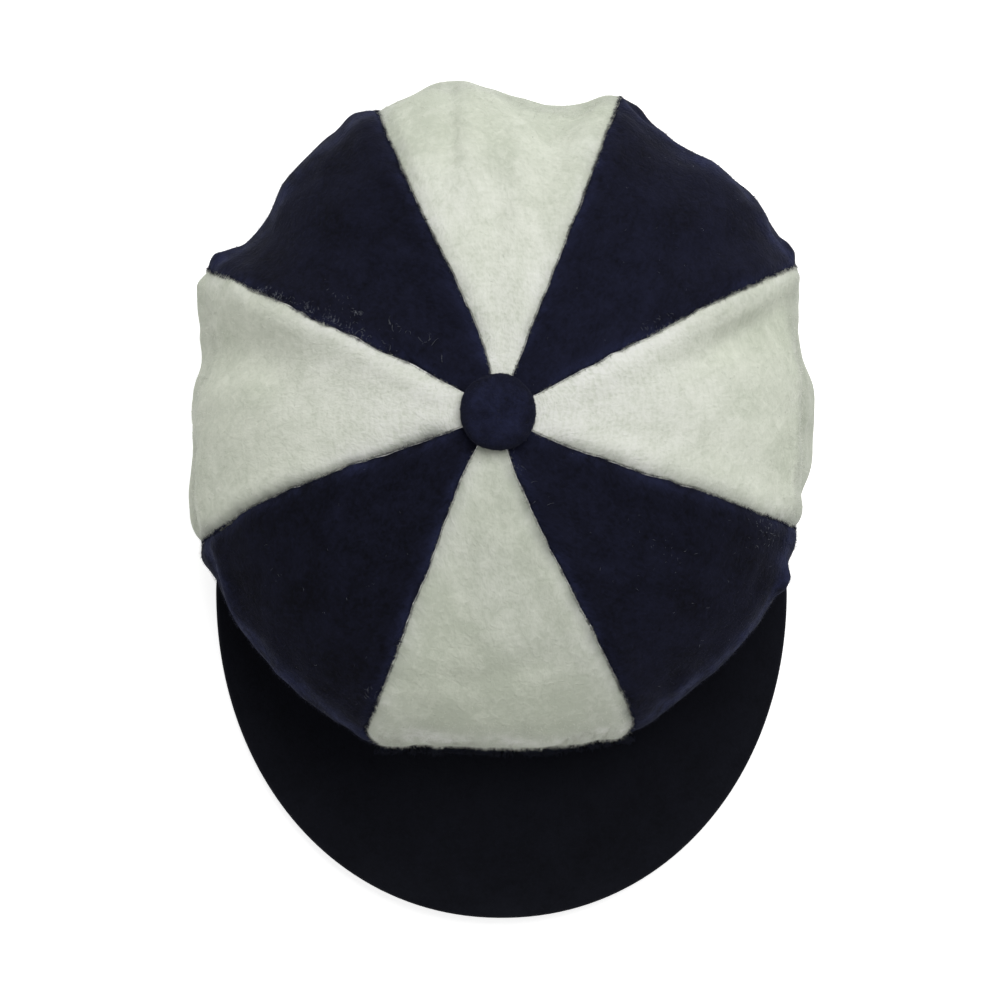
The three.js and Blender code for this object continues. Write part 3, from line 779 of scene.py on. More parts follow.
def mark_panel(piece, panel, girth, along, inside):
    """Marks a panel's rubbed and worn nap and painted sheen, its painted shade, and how pale it is painted.
    """
    places = mesh_points(piece)
    cream = panel.wool == "cream_wool"
    # Rubbed nap beside the seams and over the shoulder: partly raised nap and partly a painted sheen
    # highlight.
    beside, reach = (0.33, 4.5 * MM) if cream else (0.6, 2.6 * MM)
    rubbed = rubbed_nap_and_sheen(girth, along, places, beside, reach, panel.ridge)
    if cream:
        rubbed = rubbed + 0.4 * np.maximum(0, uneven(places, "cloud"))
    # Painted shade beside the seams, varied by noise.
    soil = seam_painted_shade(girth, along) * (1 + 0.5 * uneven(places, "soil"))
    # tone is painted shade and light: the panel's own value, painted shade towards the shoulder, and painted
    # shade where the cloth dips into a seam.
    painted_shade_in_dip = 0.2 / MM
    tone = panel.tone + panel.far * step(along, 0.3, 0.64) - painted_shade_in_dip * seam_dip(girth, along)
    mark_points(piece, "rubbed", np.where(inside, 0, rubbed))
    # Painted shade under the shoulder, where the cloth turns away from the light, goes in with the seams'
    # painted shade.
    mark_points(piece, "soil", soil + panel.dust * step(along, 0.59, 0.63))
    mark_points(piece, "worn", panel.worn * (1 - step(along, 0.1, 0.52)))
    mark_points(piece, "tone", tone)


def hem_thickness():
    sizes = bpy.context.scene.cap_crown
    return sizes.wool + sizes.hem_turning


def peak_edge(azimuth):
    """Reach of the peak's outer edge: a superellipse before its widest line, and straight behind it."""
    sizes = bpy.context.scene.cap_peak
    across, ahead = np.cos(azimuth), -np.sin(azimuth)
    widest = bpy.context.scene.cap_crown.rim_forward + sizes.widest
    near, far = np.zeros_like(azimuth), np.full_like(azimuth, 2 * (sizes.tip + sizes.half_width))
    halvings = 24
    for _ in range(halvings):
        middle = (near + far) / 2
        sideways = np.abs(middle * across - sizes.aside) / sizes.half_width
        forwards = np.maximum(0, middle * ahead - widest) / (sizes.tip - widest)
        outside = sideways**sizes.roundness + forwards**sizes.roundness > 1
        near, far = np.where(outside, near, middle), np.where(outside, middle, far)
    return near


def peak_surface(azimuth, out):
    """A point of the peak's underside and the peak's depth there. out goes from the inner edge outwards."""
    sizes = bpy.context.scene.cap_peak
    hem = hem_thickness()
    from_end = np.clip(math.pi / 2 - sizes.end - np.abs(from_front(azimuth)), 0, None)
    corner = np.sqrt(1 - (1 - np.minimum(1, from_end / sizes.corner)) ** 2)
    inner = rim_reach(azimuth) - hem
    depth = np.maximum(hem, corner * (peak_edge(azimuth) - inner))
    height = arch_share(azimuth) * (
        blend(sizes.arch, sizes.tip_rise, out) + sizes.fullness * np.sin(np.pi * out)
    )
    return round_axis(inner + depth * out, azimuth, height), depth


def make_cover(name, lift, faces_up):
    """One cloth cover of the peak, with its outer edge turned towards the other cover."""
    sizes = bpy.context.scene.cap_peak
    piece, round_share, out_share, inside = cloth_blank(name, sizes.strips, sizes.rows)
    # The faces are smaller near the peak's ends and its outer edge, where it curves most.
    round_share = round_share - 0.09 * np.sin(2 * np.pi * round_share)
    out = 1 - (1 - out_share) ** 1.35
    azimuth = -math.pi / 2 + (math.pi / 2 - sizes.end) * (2 * round_share - 1)
    under, depth = peak_surface(azimuth, out)
    surface = under + [0, 0, lift]
    ripple = 0.22 * MM * uneven(under, "cover") + 0.12 * MM * uneven(under, "fine cover")
    edge = (1 - out) * depth
    edge_radius = 0.92 * sizes.cover
    turned = turned_edge(edge, edge_radius)
    upper = surface[:, 2] + sizes.cover
    lower = surface[:, 2].copy()
    if faces_up:
        upper = upper - turned + ripple * step(edge, 0, 6 * MM) * step(out, 0, 0.1)
    else:
        lower = lower + turned
    surface[:, 2] = np.where(inside, lower, upper)
    middle_reach = 140 * MM
    shape_mesh(piece, surface, np.stack([(azimuth + math.pi / 2) * middle_reach, out * depth], axis=-1))
    patches = 0.6 + 0.5 * uneven(under, "rubbed cover")
    # Painted light: near the crown, where the crown's shadow falls, the peak is marked worn and given a pale
    # tone.
    worn = 1 - step(out, 0.05, 0.75)
    mark_points(piece, "rubbed", np.clip(np.exp(-edge / (9 * MM)) * patches, 0, 1))
    mark_points(piece, "worn", worn)
    mark_points(piece, "tone", 0.6 * worn)
    face_outwards(piece)
    return piece


def button_face(turn, climb):
    """A point of the button. climb goes from 0 at the end of its shank to 1 at the middle of its top."""
    sizes = bpy.context.scene.cap_peak
    out, up = np.moveaxis(curve_through(BUTTON_OUTLINE, climb), -1, 0)
    radius = (BUTTON_HIGH.x - BUTTON_LOW.x) / 2 - 0.1 * MM
    height = BUTTON_HIGH.z - BUTTON_LOW.z
    ripples = np.cos(sizes.button_pleats * turn + 1.5 * np.sin(2 * turn)) - 1
    reach = np.maximum(out, 0) * radius + 0.3 * MM * ripples * stretch(up, "gather")
    places = round_axis(reach, turn, BUTTON_LOW.z + np.clip(up, 0, 1) * height)
    puffed = step(up, 0.4, 0.6)
    bump = (0.55 * MM * uneven(places, "button") + 0.2 * MM * uneven(places, "fine button")) * puffed
    places += np.stack([bump * np.cos(turn), bump * np.sin(turn), bump - 0.35 * MM * puffed], axis=-1)
    return places


def make_button():
    """The cloth-covered button: a ball worked into a low dome, gathered under its edge, with its shank."""
    deselect_all()
    bpy.ops.mesh.primitive_uv_sphere_add(segments=136, ring_count=90, radius=1)
    piece = bpy.context.object
    piece.name = piece.data.name = "wool_button"
    ball = mesh_points(piece)
    turn = np.arctan2(ball[:, 1], ball[:, 0])
    climb = 1 - np.arccos(np.clip(ball[:, 2], -1, 1)) / math.pi
    places = button_face(turn, climb)
    flat = (places - AXIS)[:, :2]
    shape_mesh(piece, places, flat)
    patches = 0.4 + 0.5 * uneven(places, "rubbed button")
    mark_points(piece, "rubbed", np.clip(patches * step(climb, 0.6, 0.9), 0, 1))
    face_outwards(piece)
    return piece


def strands(name, roots, ways, normals, lengths, radii, curls, lifts, rings):
    """Fibres as one mesh of thin tubes drawn to a point. curls are the radians that they bend over."""
    count, corners = len(roots), 3
    ways = unit(ways)
    sides = np.cross(normals, ways)
    share = np.linspace(0, 1, rings + 1)[None, :]
    curl = np.where(np.abs(curls) < 0.05, 0.05, curls)[:, None]
    ahead = np.sin(curl * share) / curl * lengths[:, None]
    aside = (1 - np.cos(curl * share)) / curl * lengths[:, None]
    rise = lifts[:, None] * share * (1.6 - 0.6 * share)
    spine = (
        roots[:, None]
        + ahead[..., None] * ways[:, None]
        + aside[..., None] * sides[:, None]
        + rise[..., None] * normals[:, None]
    )
    turn = np.arange(corners) * 2 * math.pi / corners
    thin = (radii[:, None] * (1 - 0.6 * share[:, :-1]))[..., None, None]
    ring = (
        np.cos(turn)[None, None, :, None] * normals[:, None, None]
        + np.sin(turn)[None, None, :, None] * sides[:, None, None]
    )
    tube = (spine[:, :-1, None] + thin * ring).reshape(count, -1, 3)
    points = np.concatenate([tube, spine[:, -1:]], axis=1).reshape(-1, 3)
    tip = rings * corners
    last = tip - corners
    shape = [tuple(reversed(range(corners)))]
    for k in range(corners):
        beside = (k + 1) % corners
        for base in range(0, last, corners):
            shape.append((base + k, base + beside, base + corners + beside, base + corners + k))
        shape.append((last + k, last + beside, tip))
    first = np.arange(count)[:, None] * (tip + 1)
    faces = [face for part in shape for face in (first + part).tolist()]
    mesh = bpy.data.meshes.new(name)
    mesh.from_pydata(points.tolist(), [], faces)
    mesh.update()
    piece = bpy.data.objects.new(name, mesh)
    bpy.context.scene.collection.objects.link(piece)
    mesh.polygons.foreach_set("use_smooth", [True] * len(mesh.polygons))
    return piece


def headed(heading, first, second):
    """Directions between two that are square to each other, at an angle from the first in radians."""
    return np.cos(heading)[:, None] * first + np.sin(heading)[:, None] * second


def sprout_on_button(random, count):
    """Short nap all over the button's top and sides."""
    turn = random.uniform(-math.pi, math.pi, count)
    climb = 1 - 0.58 * random.uniform(0, 1, count) ** 0.6
    roots = button_face(turn, climb)
    round_it = button_face(turn + 0.01, climb) - roots
    up_it = button_face(turn, np.minimum(1, climb + 0.005)) - button_face(turn, climb - 0.005)
    out = unit(np.cross(round_it, up_it))
    round_it = unit(round_it)
    ways = headed(random.uniform(-math.pi, math.pi, count), round_it, np.cross(out, round_it))
    lengths = 0.9 * MM * random.uniform(0.5, 1.4, count)
    lifts = 0.3 * MM * random.uniform(0.2, 1.5, count)
    radii = 0.045 * MM * random.uniform(0.7, 1.3, count)
    curls = random.normal(0, 1.3, count)
    return strands("nap_button", roots - ROOTED * out, ways, out, lengths, radii, curls, lifts, rings=2)


def sprout_on_peak(random, count):
    """Loose navy wool caught on the peak, in a row of small tufts below the crown's front fold."""
    sizes = bpy.context.scene.cap_peak
    tufts = random.uniform(0, 1, 80)
    own = random.integers(0, len(tufts), count)
    size = random.uniform(0.35, 1.0, len(tufts))[own]
    across = np.clip(tufts[own] + random.normal(0, 0.01, count), -0.03, 1.03)
    fold = crown(PANEL_INDEX["front"] + across, np.full(count, 0.66))
    azimuth = np.arctan2(fold[:, 1] - AXIS[1], fold[:, 0] - AXIS[0])
    reach = reach_of(fold) + 4.8 * MM + size * random.uniform(-1.7, 1.1, count) * MM
    inner = rim_reach(azimuth) - hem_thickness()
    _, depth = peak_surface(azimuth, np.zeros(count))
    roots, _ = peak_surface(azimuth, (reach - inner) / depth)
    roots[:, 2] += 2 * sizes.cover + sizes.cover_gap - ROOTED
    right, back, up = (np.tile(axis, (count, 1)) for axis in np.identity(3))
    ways = headed(random.normal(0, 1.1, count) + azimuth, right, back)
    lengths = 1.5 * MM * random.uniform(0.5, 1.3, count) * (0.5 + 0.5 * size)
    lifts = 1.3 * MM * random.uniform(0.2, 1.3, count) * size
    radii = 0.05 * MM * random.uniform(0.7, 1.3, count)
    curls = random.normal(0, 1.8, count)
    return strands("fluff_on_peak", roots, ways, up, lengths, radii, curls, lifts, rings=3)


def sprout(name, random, places, length, radius, curl, lift, rings):
    """Fibres on the crown. places holds their girths, how far along they are, and their headings."""
    girth, along, heading = places
    count = len(girth)
    face, out, _ = crown_cloth(girth, along)
    round_it = crown(girth + 0.01, along) - crown(girth - 0.01, along)
    down_it = crown(girth, np.minimum(1, along + 0.005)) - crown(girth, np.maximum(0, along - 0.005))
    ways = headed(heading, unit(round_it), unit(down_it))
    lengths = length * random.uniform(0.55, 1.35, count)
    radii = radius * random.uniform(0.7, 1.3, count)
    curls = random.normal(0, curl, count)
    lifts = lift * random.uniform(0.2, 1.4, count)
    return strands(name, face - ROOTED * out, ways, out, lengths, radii, curls, lifts, rings)


def indexes_of(wool):
    return np.array([index for index, panel in enumerate(PANELS) if panel.wool == wool])


def seam_nap_places(random, wool, count):
    """Girths, places along and headings for a wool's nap across its seams, half of it in clumps."""
    side = random.integers(0, 2, count)
    panel = random.choice(indexes_of(wool), count)
    clumps = random.uniform(0, 1, (2, len(PANELS), 55))
    own = clumps[side, panel, random.integers(0, clumps.shape[2], count)]
    clumped = own + random.normal(0, 0.004, count)
    spread = random.uniform(0, 1, count)
    share = np.clip(np.where(random.uniform(0, 1, count) < 0.55, clumped, spread), 0, 1)
    along = blend(0.1, 0.68, share**0.75)
    edge = np.abs(random.normal(0, 0.45 * MM, count)) + 0.1 * MM
    width = panel_width(panel + 0.5 + 0 * along, along)
    girth = panel + np.where(side == 0, edge / width, 1 - edge / width)
    return girth, along, np.where(side == 0, math.pi, 0) + random.normal(0, 0.8, count)


def tufted(random, tufts, spread, count):
    """Shares across a panel that gather in tufts."""
    centres = random.uniform(0.01, 0.99, tufts)
    return np.clip(random.choice(centres, count) + random.normal(0, spread, count), 0.01, 0.99)


def shoulder_nap_places(random, wool, count):
    """Girths, places along and headings for a wool's nap round the outline, most of it in front."""
    panels = indexes_of(wool)
    front = np.array([PANELS[index].name.startswith("front") for index in panels])
    panel = random.choice(panels, count, p=(1 + 1.5 * front) / (1 + 1.5 * front).sum())
    girth = panel + tufted(random, 260, 0.006, count)
    along = np.clip(random.normal(0.63, 0.05, count), 0.3, 0.9)
    return girth, along, random.normal(math.pi / 2, 1.1, count)


def front_tuft_places(random, count):
    """Girths, places along and headings for the tufts that stand out from the front fold."""
    girth = PANEL_INDEX["front"] + tufted(random, 60, 0.008, count)
    along = random.normal(0.645, 0.018, count)
    return girth, along, random.normal(math.pi / 2, 0.7, count)


def lint_places(random):
    """Girths, places along and headings for the lint, and its lengths and radii."""
    rows = []
    for patch in LINT:
        across = np.clip(patch.across + random.normal(0, patch.spread, patch.count), 0.02, 0.985)
        along = np.clip(patch.along + random.normal(0, 0.6 * patch.spread, patch.count), 0.1, 0.64)
        fibre = (np.full(patch.count, patch.length), np.full(patch.count, patch.radius))
        rows.append((PANEL_INDEX[patch.panel] + across, along, *fibre))
    girth, along, length, radius = (np.concatenate(column) for column in zip(*rows))
    across = girth - np.floor(girth)
    off_seam = np.where(across > 0.5, math.pi, 0) + random.normal(0, 0.8, len(girth))
    any_way = random.uniform(-math.pi, math.pi, len(girth))
    at_seam = np.minimum(across, 1 - across) < 0.07
    return (girth, along, np.where(at_seam, off_seam, any_way)), length, radius


def speck_places(random, count):
    """Girths, places along and headings for the dark specks all over the cream wool."""
    girth = random.choice(indexes_of("cream_wool"), count) + random.uniform(0.03, 0.97, count)
    return girth, random.uniform(0.12, 0.62, count), random.uniform(-math.pi, math.pi, count)


def set_inputs(tree, node, inputs):
    """Sets a node's inputs by name or number: a socket is linked, and a value is set."""
    for key, value in inputs.items():
        if isinstance(value, bpy.types.NodeSocket):
            tree.links.new(value, node.inputs[key])
        else:
            node.inputs[key].default_value = value


def add_node(tree, kind, inputs=None, **values):
    """A new node with its settings and its inputs."""
    node = tree.nodes.new(kind)
    for name, value in values.items():
        setattr(node, name, value)
    set_inputs(tree, node, inputs or {})
    return node


def math_node(tree, operation, *values):
    return add_node(tree, "ShaderNodeMath", dict(enumerate(values)), operation=operation).outputs[0]


def added(tree, *parts):
    total = parts[0]
    for part in parts[1:]:
        total = math_node(tree, "ADD", total, part)
    return total


def mixed_colour(tree, share, first, second):
    return add_node(tree, "ShaderNodeMix", {0: share, 6: first, 7: second}, data_type="RGBA").outputs[2]


# The inputs of the wool's look: the kind of socket, its default, and the names of those of that kind.
WOOL_INPUTS = (
    ("NodeSocketVector", (0, 0, 0), ("Cloth",)),
    ("NodeSocketColor", (0.5, 0.5, 0.5, 1), ("Lit", "Deep", "Rubbed Nap", "Soiled")),
    ("NodeSocketFloat", 0, ("Rubbed", "Worn", "Soil", "Tone")),
    ("NodeSocketFloat", 0.5, ("Threads", "Grain", "Lumps", "Mottle")),
    ("NodeSocketFloat", 1.5, ("Thread Pitch",)),
)


def wool_group():
    """The look of napped wool: threads where the nap is worn, short grain, felted lumps and mottling."""
    name = "Napped Wool"
    if name in bpy.data.node_groups:
        return bpy.data.node_groups[name]
    tree = bpy.data.node_groups.new(name, "ShaderNodeTree")
    for kind, default, labels in WOOL_INPUTS:
        for label in labels:
            socket = tree.interface.new_socket(name=label, in_out="INPUT", socket_type=kind)
            socket.default_value = default
    for label, kind in (("Color", "NodeSocketColor"), ("Height", "NodeSocketFloat")):
        tree.interface.new_socket(name=label, in_out="OUTPUT", socket_type=kind)
    source = tree.nodes.new("NodeGroupInput").outputs
    to_millimetres = {0: source["Cloth"], "Scale": 1 / MM}
    place = add_node(tree, "ShaderNodeVectorMath", to_millimetres, operation="SCALE").outputs[0]
    threads = thread_height(tree, source, place)
    grain = noise_part(tree, place, 0.95, 2.0, source["Grain"])
    lumps = noise_part(tree, place, 0.42, 2.0, source["Lumps"])
    mottle = noise_part(tree, place, 0.075, 3.0, source["Mottle"])
    height = added(tree, threads, grain, math_node(tree, "MULTIPLY", lumps, 1.6))
    patchy = added(tree, threads, grain, lumps, mottle)
    # Painted shade and light: tone moves the colour between the deep and the lit wool.
    share = add_node(tree, "ShaderNodeClamp", {0: added(tree, patchy, source["Tone"], 0.58)})
    colour = mixed_colour(tree, share.outputs[0], source["Deep"], source["Lit"])
    broken = math_node(tree, "MULTIPLY_ADD", patchy, 1.2, 1.0)
    # Where the nap is worn or rubbed up, the paler rubbed colour is mixed in; beside seams and over the
    # shoulder this is partly a painted sheen highlight.
    raised = math_node(tree, "MULTIPLY_ADD", source["Worn"], 0.7, source["Rubbed"])
    nap = add_node(tree, "ShaderNodeClamp", {0: math_node(tree, "MULTIPLY", raised, broken)})
    colour = mixed_colour(tree, nap.outputs[0], colour, source["Rubbed Nap"])
    # Painted shade: mixes the colour towards the dark shade colour where the mark asks for it.
    colour = mixed_colour(tree, source["Soil"], colour, source["Soiled"])
    add_node(tree, "NodeGroupOutput", {"Color": colour, "Height": height})
    return tree


def noise_part(tree, place, scale, detail, amount):
    """Noise about 0 at so many lumps to a millimetre, times its amount."""
    texture = add_node(
        tree, "ShaderNodeTexNoise",
        {"Vector": place, "Scale": scale, "Detail": detail, "Roughness": 0.62, "Distortion": 0.6})
    return math_node(tree, "MULTIPLY", math_node(tree, "SUBTRACT", texture.outputs["Fac"], 0.5), amount)


def thread_height(tree, source, place):
    """Warp and weft about 0, uneven as spun wool is, and clearest where the nap is worn."""
    stray = add_node(tree, "ShaderNodeTexNoise", {"Vector": place, "Scale": 0.6, "Detail": 3.0})
    shift = {0: stray.outputs["Color"], 1: (3.2, 3.2, 0.0), 2: place}
    shifted = add_node(tree, "ShaderNodeVectorMath", shift, operation="MULTIPLY_ADD")
    split = add_node(tree, "ShaderNodeSeparateXYZ", {0: shifted.outputs[0]})
    waves = []
    for axis in ("X", "Y"):
        turns = math_node(tree, "DIVIDE", split.outputs[axis], source["Thread Pitch"])
        waves.append(math_node(tree, "SINE", math_node(tree, "MULTIPLY", turns, 2 * math.pi)))
    rows = math_node(tree, "MULTIPLY_ADD", waves[0], 0.6, waves[1])
    weave = math_node(tree, "MULTIPLY", rows, 0.26)
    bare = math_node(tree, "MULTIPLY_ADD", source["Worn"], 0.85, 0.1)
    return math_node(tree, "MULTIPLY", math_node(tree, "MULTIPLY", weave, bare), source["Threads"])


# How each wool looks. threads, grain, lumps and mottle are amounts of its unevenness from fine to broad,
# relief is the depth of it in metres, and sheen is how much its nap glows in its tint along a fold's edge.
Finish = namedtuple("Finish", "threads grain lumps mottle relief sheen tint")
FINISHES = {
    "cream_wool": Finish(0.62, 0.62, 1.0, 1.55, 0.2 * MM, 0.12, (1, 1, 1)),
    "navy_wool": Finish(0.3, 1.1, 0.95, 1.5, 0.25 * MM, 0.035, (0.45, 0.55, 1)),
    "peak_wool": Finish(0.12, 0.9, 0.9, 1.2, 0.16 * MM, 0.012, (0.5, 0.6, 1)),
}


def wool_colours(slot):
    wool = bpy.context.scene.cap_wool
    name = slot.removesuffix("_wool")
    return [getattr(wool, name + ending) for ending in ("", "_deep", "_rubbed")]


def new_material(name):
    material = bpy.data.materials.new(name)
    material.use_nodes = True
    return material, material.node_tree, material.node_tree.nodes["Principled BSDF"]


def wool_finish(slot):
    """The napped cloth of a slot, made once."""
    name = f"{slot}_cloth"
    if name in bpy.data.materials:
        return bpy.data.materials[name]
    wool, finish = bpy.context.scene.cap_wool, FINISHES[slot]
    material, tree, shader = new_material(name)
    cloth = add_node(tree, "ShaderNodeUVMap", uv_map="UVMap")
    look = add_node(tree, "ShaderNodeGroup", node_tree=wool_group())
    inputs = {
        "Cloth": cloth.outputs[0], "Soiled": (*wool.painted_shade_colour, 1), "Thread Pitch": wool.thread_pitch,
        "Threads": finish.threads, "Grain": finish.grain, "Lumps": finish.lumps, "Mottle": finish.mottle,
    }
    for part, colour in zip(("Lit", "Deep", "Rubbed Nap"), wool_colours(slot)):
        inputs[part] = (*colour, 1)
    for mark in ("Rubbed", "Worn", "Tone", "Soil"):
        amount = add_node(tree, "ShaderNodeAttribute", attribute_name=mark.lower())
        inputs[mark] = amount.outputs["Fac"]
    set_inputs(tree, look, inputs)
    relief = {"Height": look.outputs["Height"], "Strength": 1.0, "Distance": finish.relief}
    bump = add_node(tree, "ShaderNodeBump", relief)
    set_inputs(tree, shader, {
        "Base Color": look.outputs["Color"], "Normal": bump.outputs[0],
        "Roughness": 0.95, "Specular IOR Level": 0.1,
        "Sheen Weight": finish.sheen, "Sheen Roughness": 0.4, "Sheen Tint": (*finish.tint, 1),
    })
    return material


def fibre_material(name, colour, deep, sheen):
    """Loose fibres, a little lighter and darker from one to the next."""
    material, tree, shader = new_material(name)
    place = add_node(tree, "ShaderNodeTexCoord").outputs["Object"]
    vary = add_node(tree, "ShaderNodeTexNoise", {"Vector": place, "Scale": 900.0, "Detail": 1.0})
    set_inputs(tree, shader, {
        "Base Color": mixed_colour(tree, vary.outputs["Fac"], (*deep, 1), (*colour, 1)),
        "Roughness": 0.9, "Specular IOR Level": 0.1, "Sheen Weight": sheen,
    })
    return material


def fibre_finish(slot):
    """The loose fibres of a slot, made once."""
    name = f"{slot}_fibre"
    if name in bpy.data.materials:
        return bpy.data.materials[name]
    if slot in ("lint", "fluff"):
        colour = getattr(bpy.context.scene.cap_wool, slot)
        return fibre_material(name, colour, [0.4 * part for part in colour], 0.1)
    lit, _, rubbed = wool_colours(slot)
    return fibre_material(name, rubbed, lit, 0.05)


class CAP_OT_crown_panels(bpy.types.Operator):
    """Make the eight wool panels of the crown"""

    bl_idname = "cap.crown_panels"
    bl_label = "Crown Panels"
    bl_options = {"REGISTER", "UNDO"}

    def execute(self, context):
        for index, panel in enumerate(PANELS):
            piece = make_panel(index)
            finish_piece(piece, wool_finish(panel.wool), panel.wool, f"crown_panel_{panel.name}")
        return {"FINISHED"}


class CAP_OT_button(bpy.types.Operator):
    """Make the cloth-covered button"""

    bl_idname = "cap.button"
    bl_label = "Button"
    bl_options = {"REGISTER", "UNDO"}

    def execute(self, context):
        piece = make_button()
        finish_piece(piece, wool_finish("navy_wool"), "navy_wool", "crown_button")
        nap = sprout_on_button(np.random.default_rng(41), context.scene.cap_wool.button_fibres)
        finish_piece(nap, fibre_finish("navy_wool"), "navy_wool")
        return {"FINISHED"}


class CAP_OT_peak(bpy.types.Operator):
    """Make the two cloth covers of the peak"""

    bl_idname = "cap.peak"
    bl_label = "Peak"
    bl_options = {"REGISTER", "UNDO"}

    def execute(self, context):
        sizes = context.scene.cap_peak
        covers = (
            ("wool_peak_top", "peak_top_cover", sizes.cover + sizes.cover_gap, True),
            ("wool_peak_underside", "peak_under_cover", 0, False),
        )
        for name, node, lift, faces_up in covers:
            piece = make_cover(name, lift, faces_up)
            finish_piece(piece, wool_finish("peak_wool"), "peak_wool", node)
        return {"FINISHED"}


class CAP_OT_nap(bpy.types.Operator):
    """Raise the nap that shows along the seams and round the crown's outline"""

    bl_idname = "cap.nap"
    bl_label = "Nap"
    bl_options = {"REGISTER", "UNDO"}

    def execute(self, context):
        wool = context.scene.cap_wool
        for seed, slot in enumerate(("cream_wool", "navy_wool")):
            random = np.random.default_rng(11 + seed)
            places = {
                "seam": seam_nap_places(random, slot, wool.seam_fibres),
                "shoulder": shoulder_nap_places(random, slot, wool.shoulder_fibres),
            }
            for name, spots in places.items():
                lift = 0.35 * MM if name == "seam" else 0.8 * MM
                piece = sprout(
                    f"{name}_nap_{slot}", random, spots,
                    length=1.2 * MM, radius=0.04 * MM, curl=1.6, lift=lift, rings=2)
                finish_piece(piece, fibre_finish(slot), slot)
        return {"FINISHED"}


class CAP_OT_lint(bpy.types.Operator):
    """Scatter the loose curled fibres that are caught on the wool"""

    bl_idname = "cap.lint"
    bl_label = "Lint"
    bl_options = {"REGISTER", "UNDO"}

    def execute(self, context):
        random = np.random.default_rng(21)
        places, length, radius = lint_places(random)
        piece = sprout(
            "lint_on_navy", random, places,
            length=length, radius=radius, curl=1.8, lift=0.5 * MM, rings=6)
        finish_piece(piece, fibre_finish("lint"), "cream_wool")
        piece = sprout(
            "specks_on_cream", random, speck_places(random, context.scene.cap_wool.specks),
            length=0.6 * MM, radius=0.035 * MM, curl=1.5, lift=0.1 * MM, rings=3)
        finish_piece(piece, fibre_finish("navy_wool"), "navy_wool")
        return {"FINISHED"}


class CAP_OT_fluff(bpy.types.Operator):
    """Raise the tufts of the crown's front fold, and lay the row of loose navy wool below it on the peak"""

    bl_idname = "cap.fluff"
    bl_label = "Fluff"
    bl_options = {"REGISTER", "UNDO"}

    def execute(self, context):
        wool = context.scene.cap_wool
        piece = sprout_on_peak(np.random.default_rng(31), wool.fluff_fibres)
        finish_piece(piece, fibre_finish("fluff"), "navy_wool")
        random = np.random.default_rng(51)
        piece = sprout(
            "tufts_of_front_fold", random, front_tuft_places(random, wool.tuft_fibres),
            length=1.5 * MM, radius=0.042 * MM, curl=1.6, lift=1.1 * MM, rings=2)
        finish_piece(piece, fibre_finish("cream_wool"), "cream_wool")
        return {"FINISHED"}


class CAP_OT_stage(bpy.types.Operator):
    """Set up the floor, the lights and the camera"""

    bl_idname = "cap.stage"
    bl_label = "Stage"
    bl_options = {"REGISTER", "UNDO"}

    def execute(self, context):
        stage = context.scene.cap_stage
        make_floor(stage.floor_glow)
        make_light("key", place=(0.28, 0.68, 1.28), size=1.1, power=stage.key_watts)
        make_light("overhead", place=(0.0, -0.1, 1.9), size=1.6, power=stage.top_watts)
        make_sky(stage.sky)
        make_camera(stage)
        context.scene.view_settings.view_transform = "Standard"
        return {"FINISHED"}


def make_floor(glow):
    deselect_all()
    bpy.ops.mesh.primitive_plane_add(size=6)
    floor = bpy.context.object
    floor.name = "floor"
    material, tree, shader = new_material("white_table")
    set_inputs(tree, shader, {
        "Base Color": (0.86, 0.86, 0.86, 1), "Roughness": 0.8,
        "Emission Color": (1, 1, 1, 1), "Emission Strength": glow,
    })
    floor.data.materials.append(material)


def make_light(name, place, size, power):
    """A large round light at a place, turned towards the cap."""
    data = bpy.data.lights.new(name, "AREA")
    data.shape = "DISK"
    data.size = size
    data.energy = power
    light = bpy.data.objects.new(name, data)
    light.location = place
    light.rotation_euler = (-Vector(place)).to_track_quat("-Z", "Y").to_euler()
    bpy.context.scene.collection.objects.link(light)


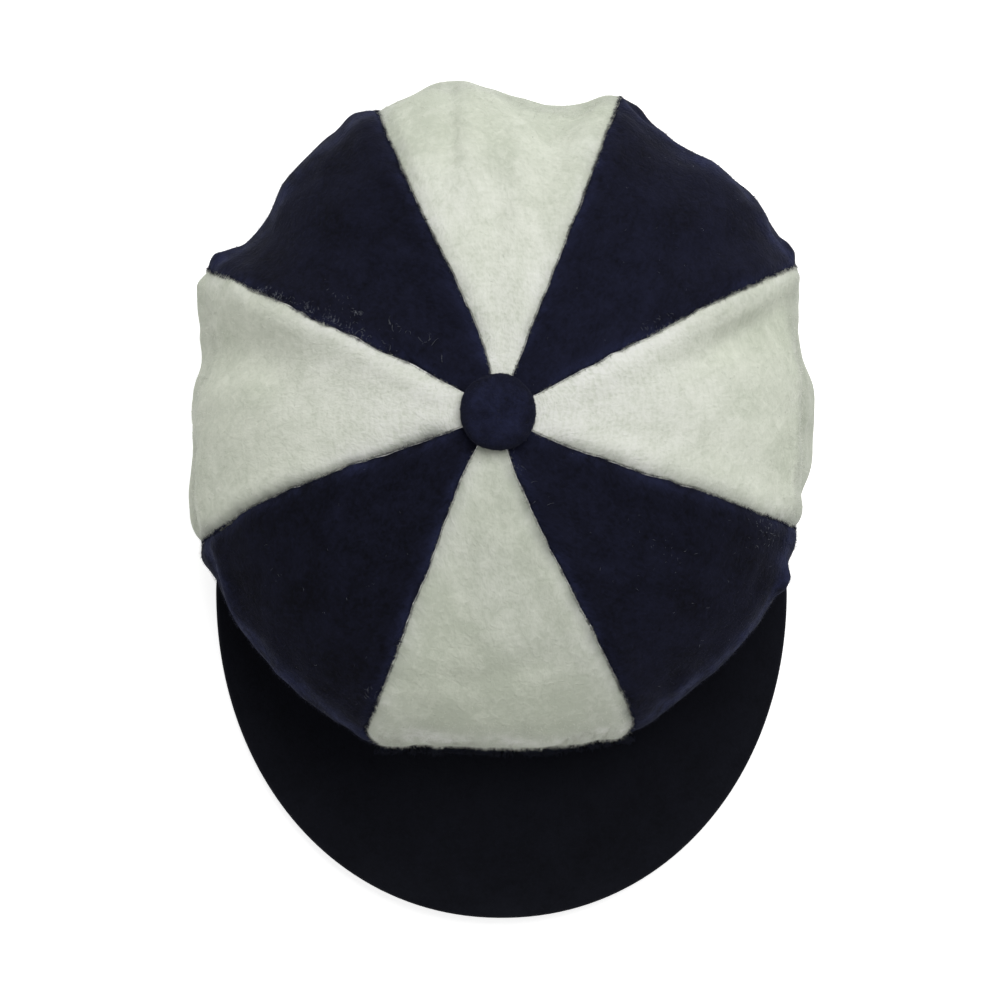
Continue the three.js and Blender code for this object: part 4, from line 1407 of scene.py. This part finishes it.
def make_sky(strength):
    world = bpy.context.scene.world or bpy.data.worlds.new("sky")
    bpy.context.scene.world = world
    world.use_nodes = True
    background = world.node_tree.nodes["Background"]
    set_inputs(world.node_tree, background, {"Color": (1, 1, 1, 1), "Strength": strength})


def make_camera(stage):
    data = bpy.data.cameras.new("camera")
    data.sensor_width = 36
    data.lens = data.sensor_width * stage.camera_height / stage.frame_width
    camera = bpy.data.objects.new("camera", data)
    camera.location = (AXIS[0] + stage.camera_right, AXIS[1] - stage.camera_forward, stage.camera_height)
    bpy.context.scene.collection.objects.link(camera)
    bpy.context.scene.camera = camera


class CAP_PT_panel(bpy.types.Panel):
    """Lists the cap's pieces in the sidebar"""

    bl_label = "Cricket Cap"
    bl_idname = "CAP_PT_panel"
    bl_space_type = "VIEW_3D"
    bl_region_type = "UI"
    bl_category = "Cap"

    def draw(self, context):
        for operator in OPERATORS:
            self.layout.operator(operator.bl_idname)
        for name in GROUPS:
            group = getattr(context.scene, name)
            box = self.layout.box()
            for key in group.bl_rna.properties.keys():
                if key not in {"rna_type", "name"}:
                    box.prop(group, key)


OPERATORS = (
    CAP_OT_crown_panels,
    CAP_OT_button,
    CAP_OT_peak,
    CAP_OT_nap,
    CAP_OT_lint,
    CAP_OT_fluff,
    CAP_OT_stage,
)
GROUPS = {
    "cap_crown": CapCrownSizes,
    "cap_peak": CapPeakSizes,
    "cap_wool": CapWool,
    "cap_stage": CapStage,
}


def register():
    for name, group in GROUPS.items():
        bpy.utils.register_class(group)
        setattr(bpy.types.Scene, name, PointerProperty(type=group))
    for kind in (*OPERATORS, CAP_PT_panel):
        bpy.utils.register_class(kind)


def unregister():
    for kind in (CAP_PT_panel, *reversed(OPERATORS)):
        bpy.utils.unregister_class(kind)
    for name, group in GROUPS.items():
        delattr(bpy.types.Scene, name)
        bpy.utils.unregister_class(group)


def main():
    register()
    for operator in OPERATORS:
        family, name = operator.bl_idname.split(".")
        getattr(getattr(bpy.ops, family), name)()


if __name__ == "__main__":
    main()
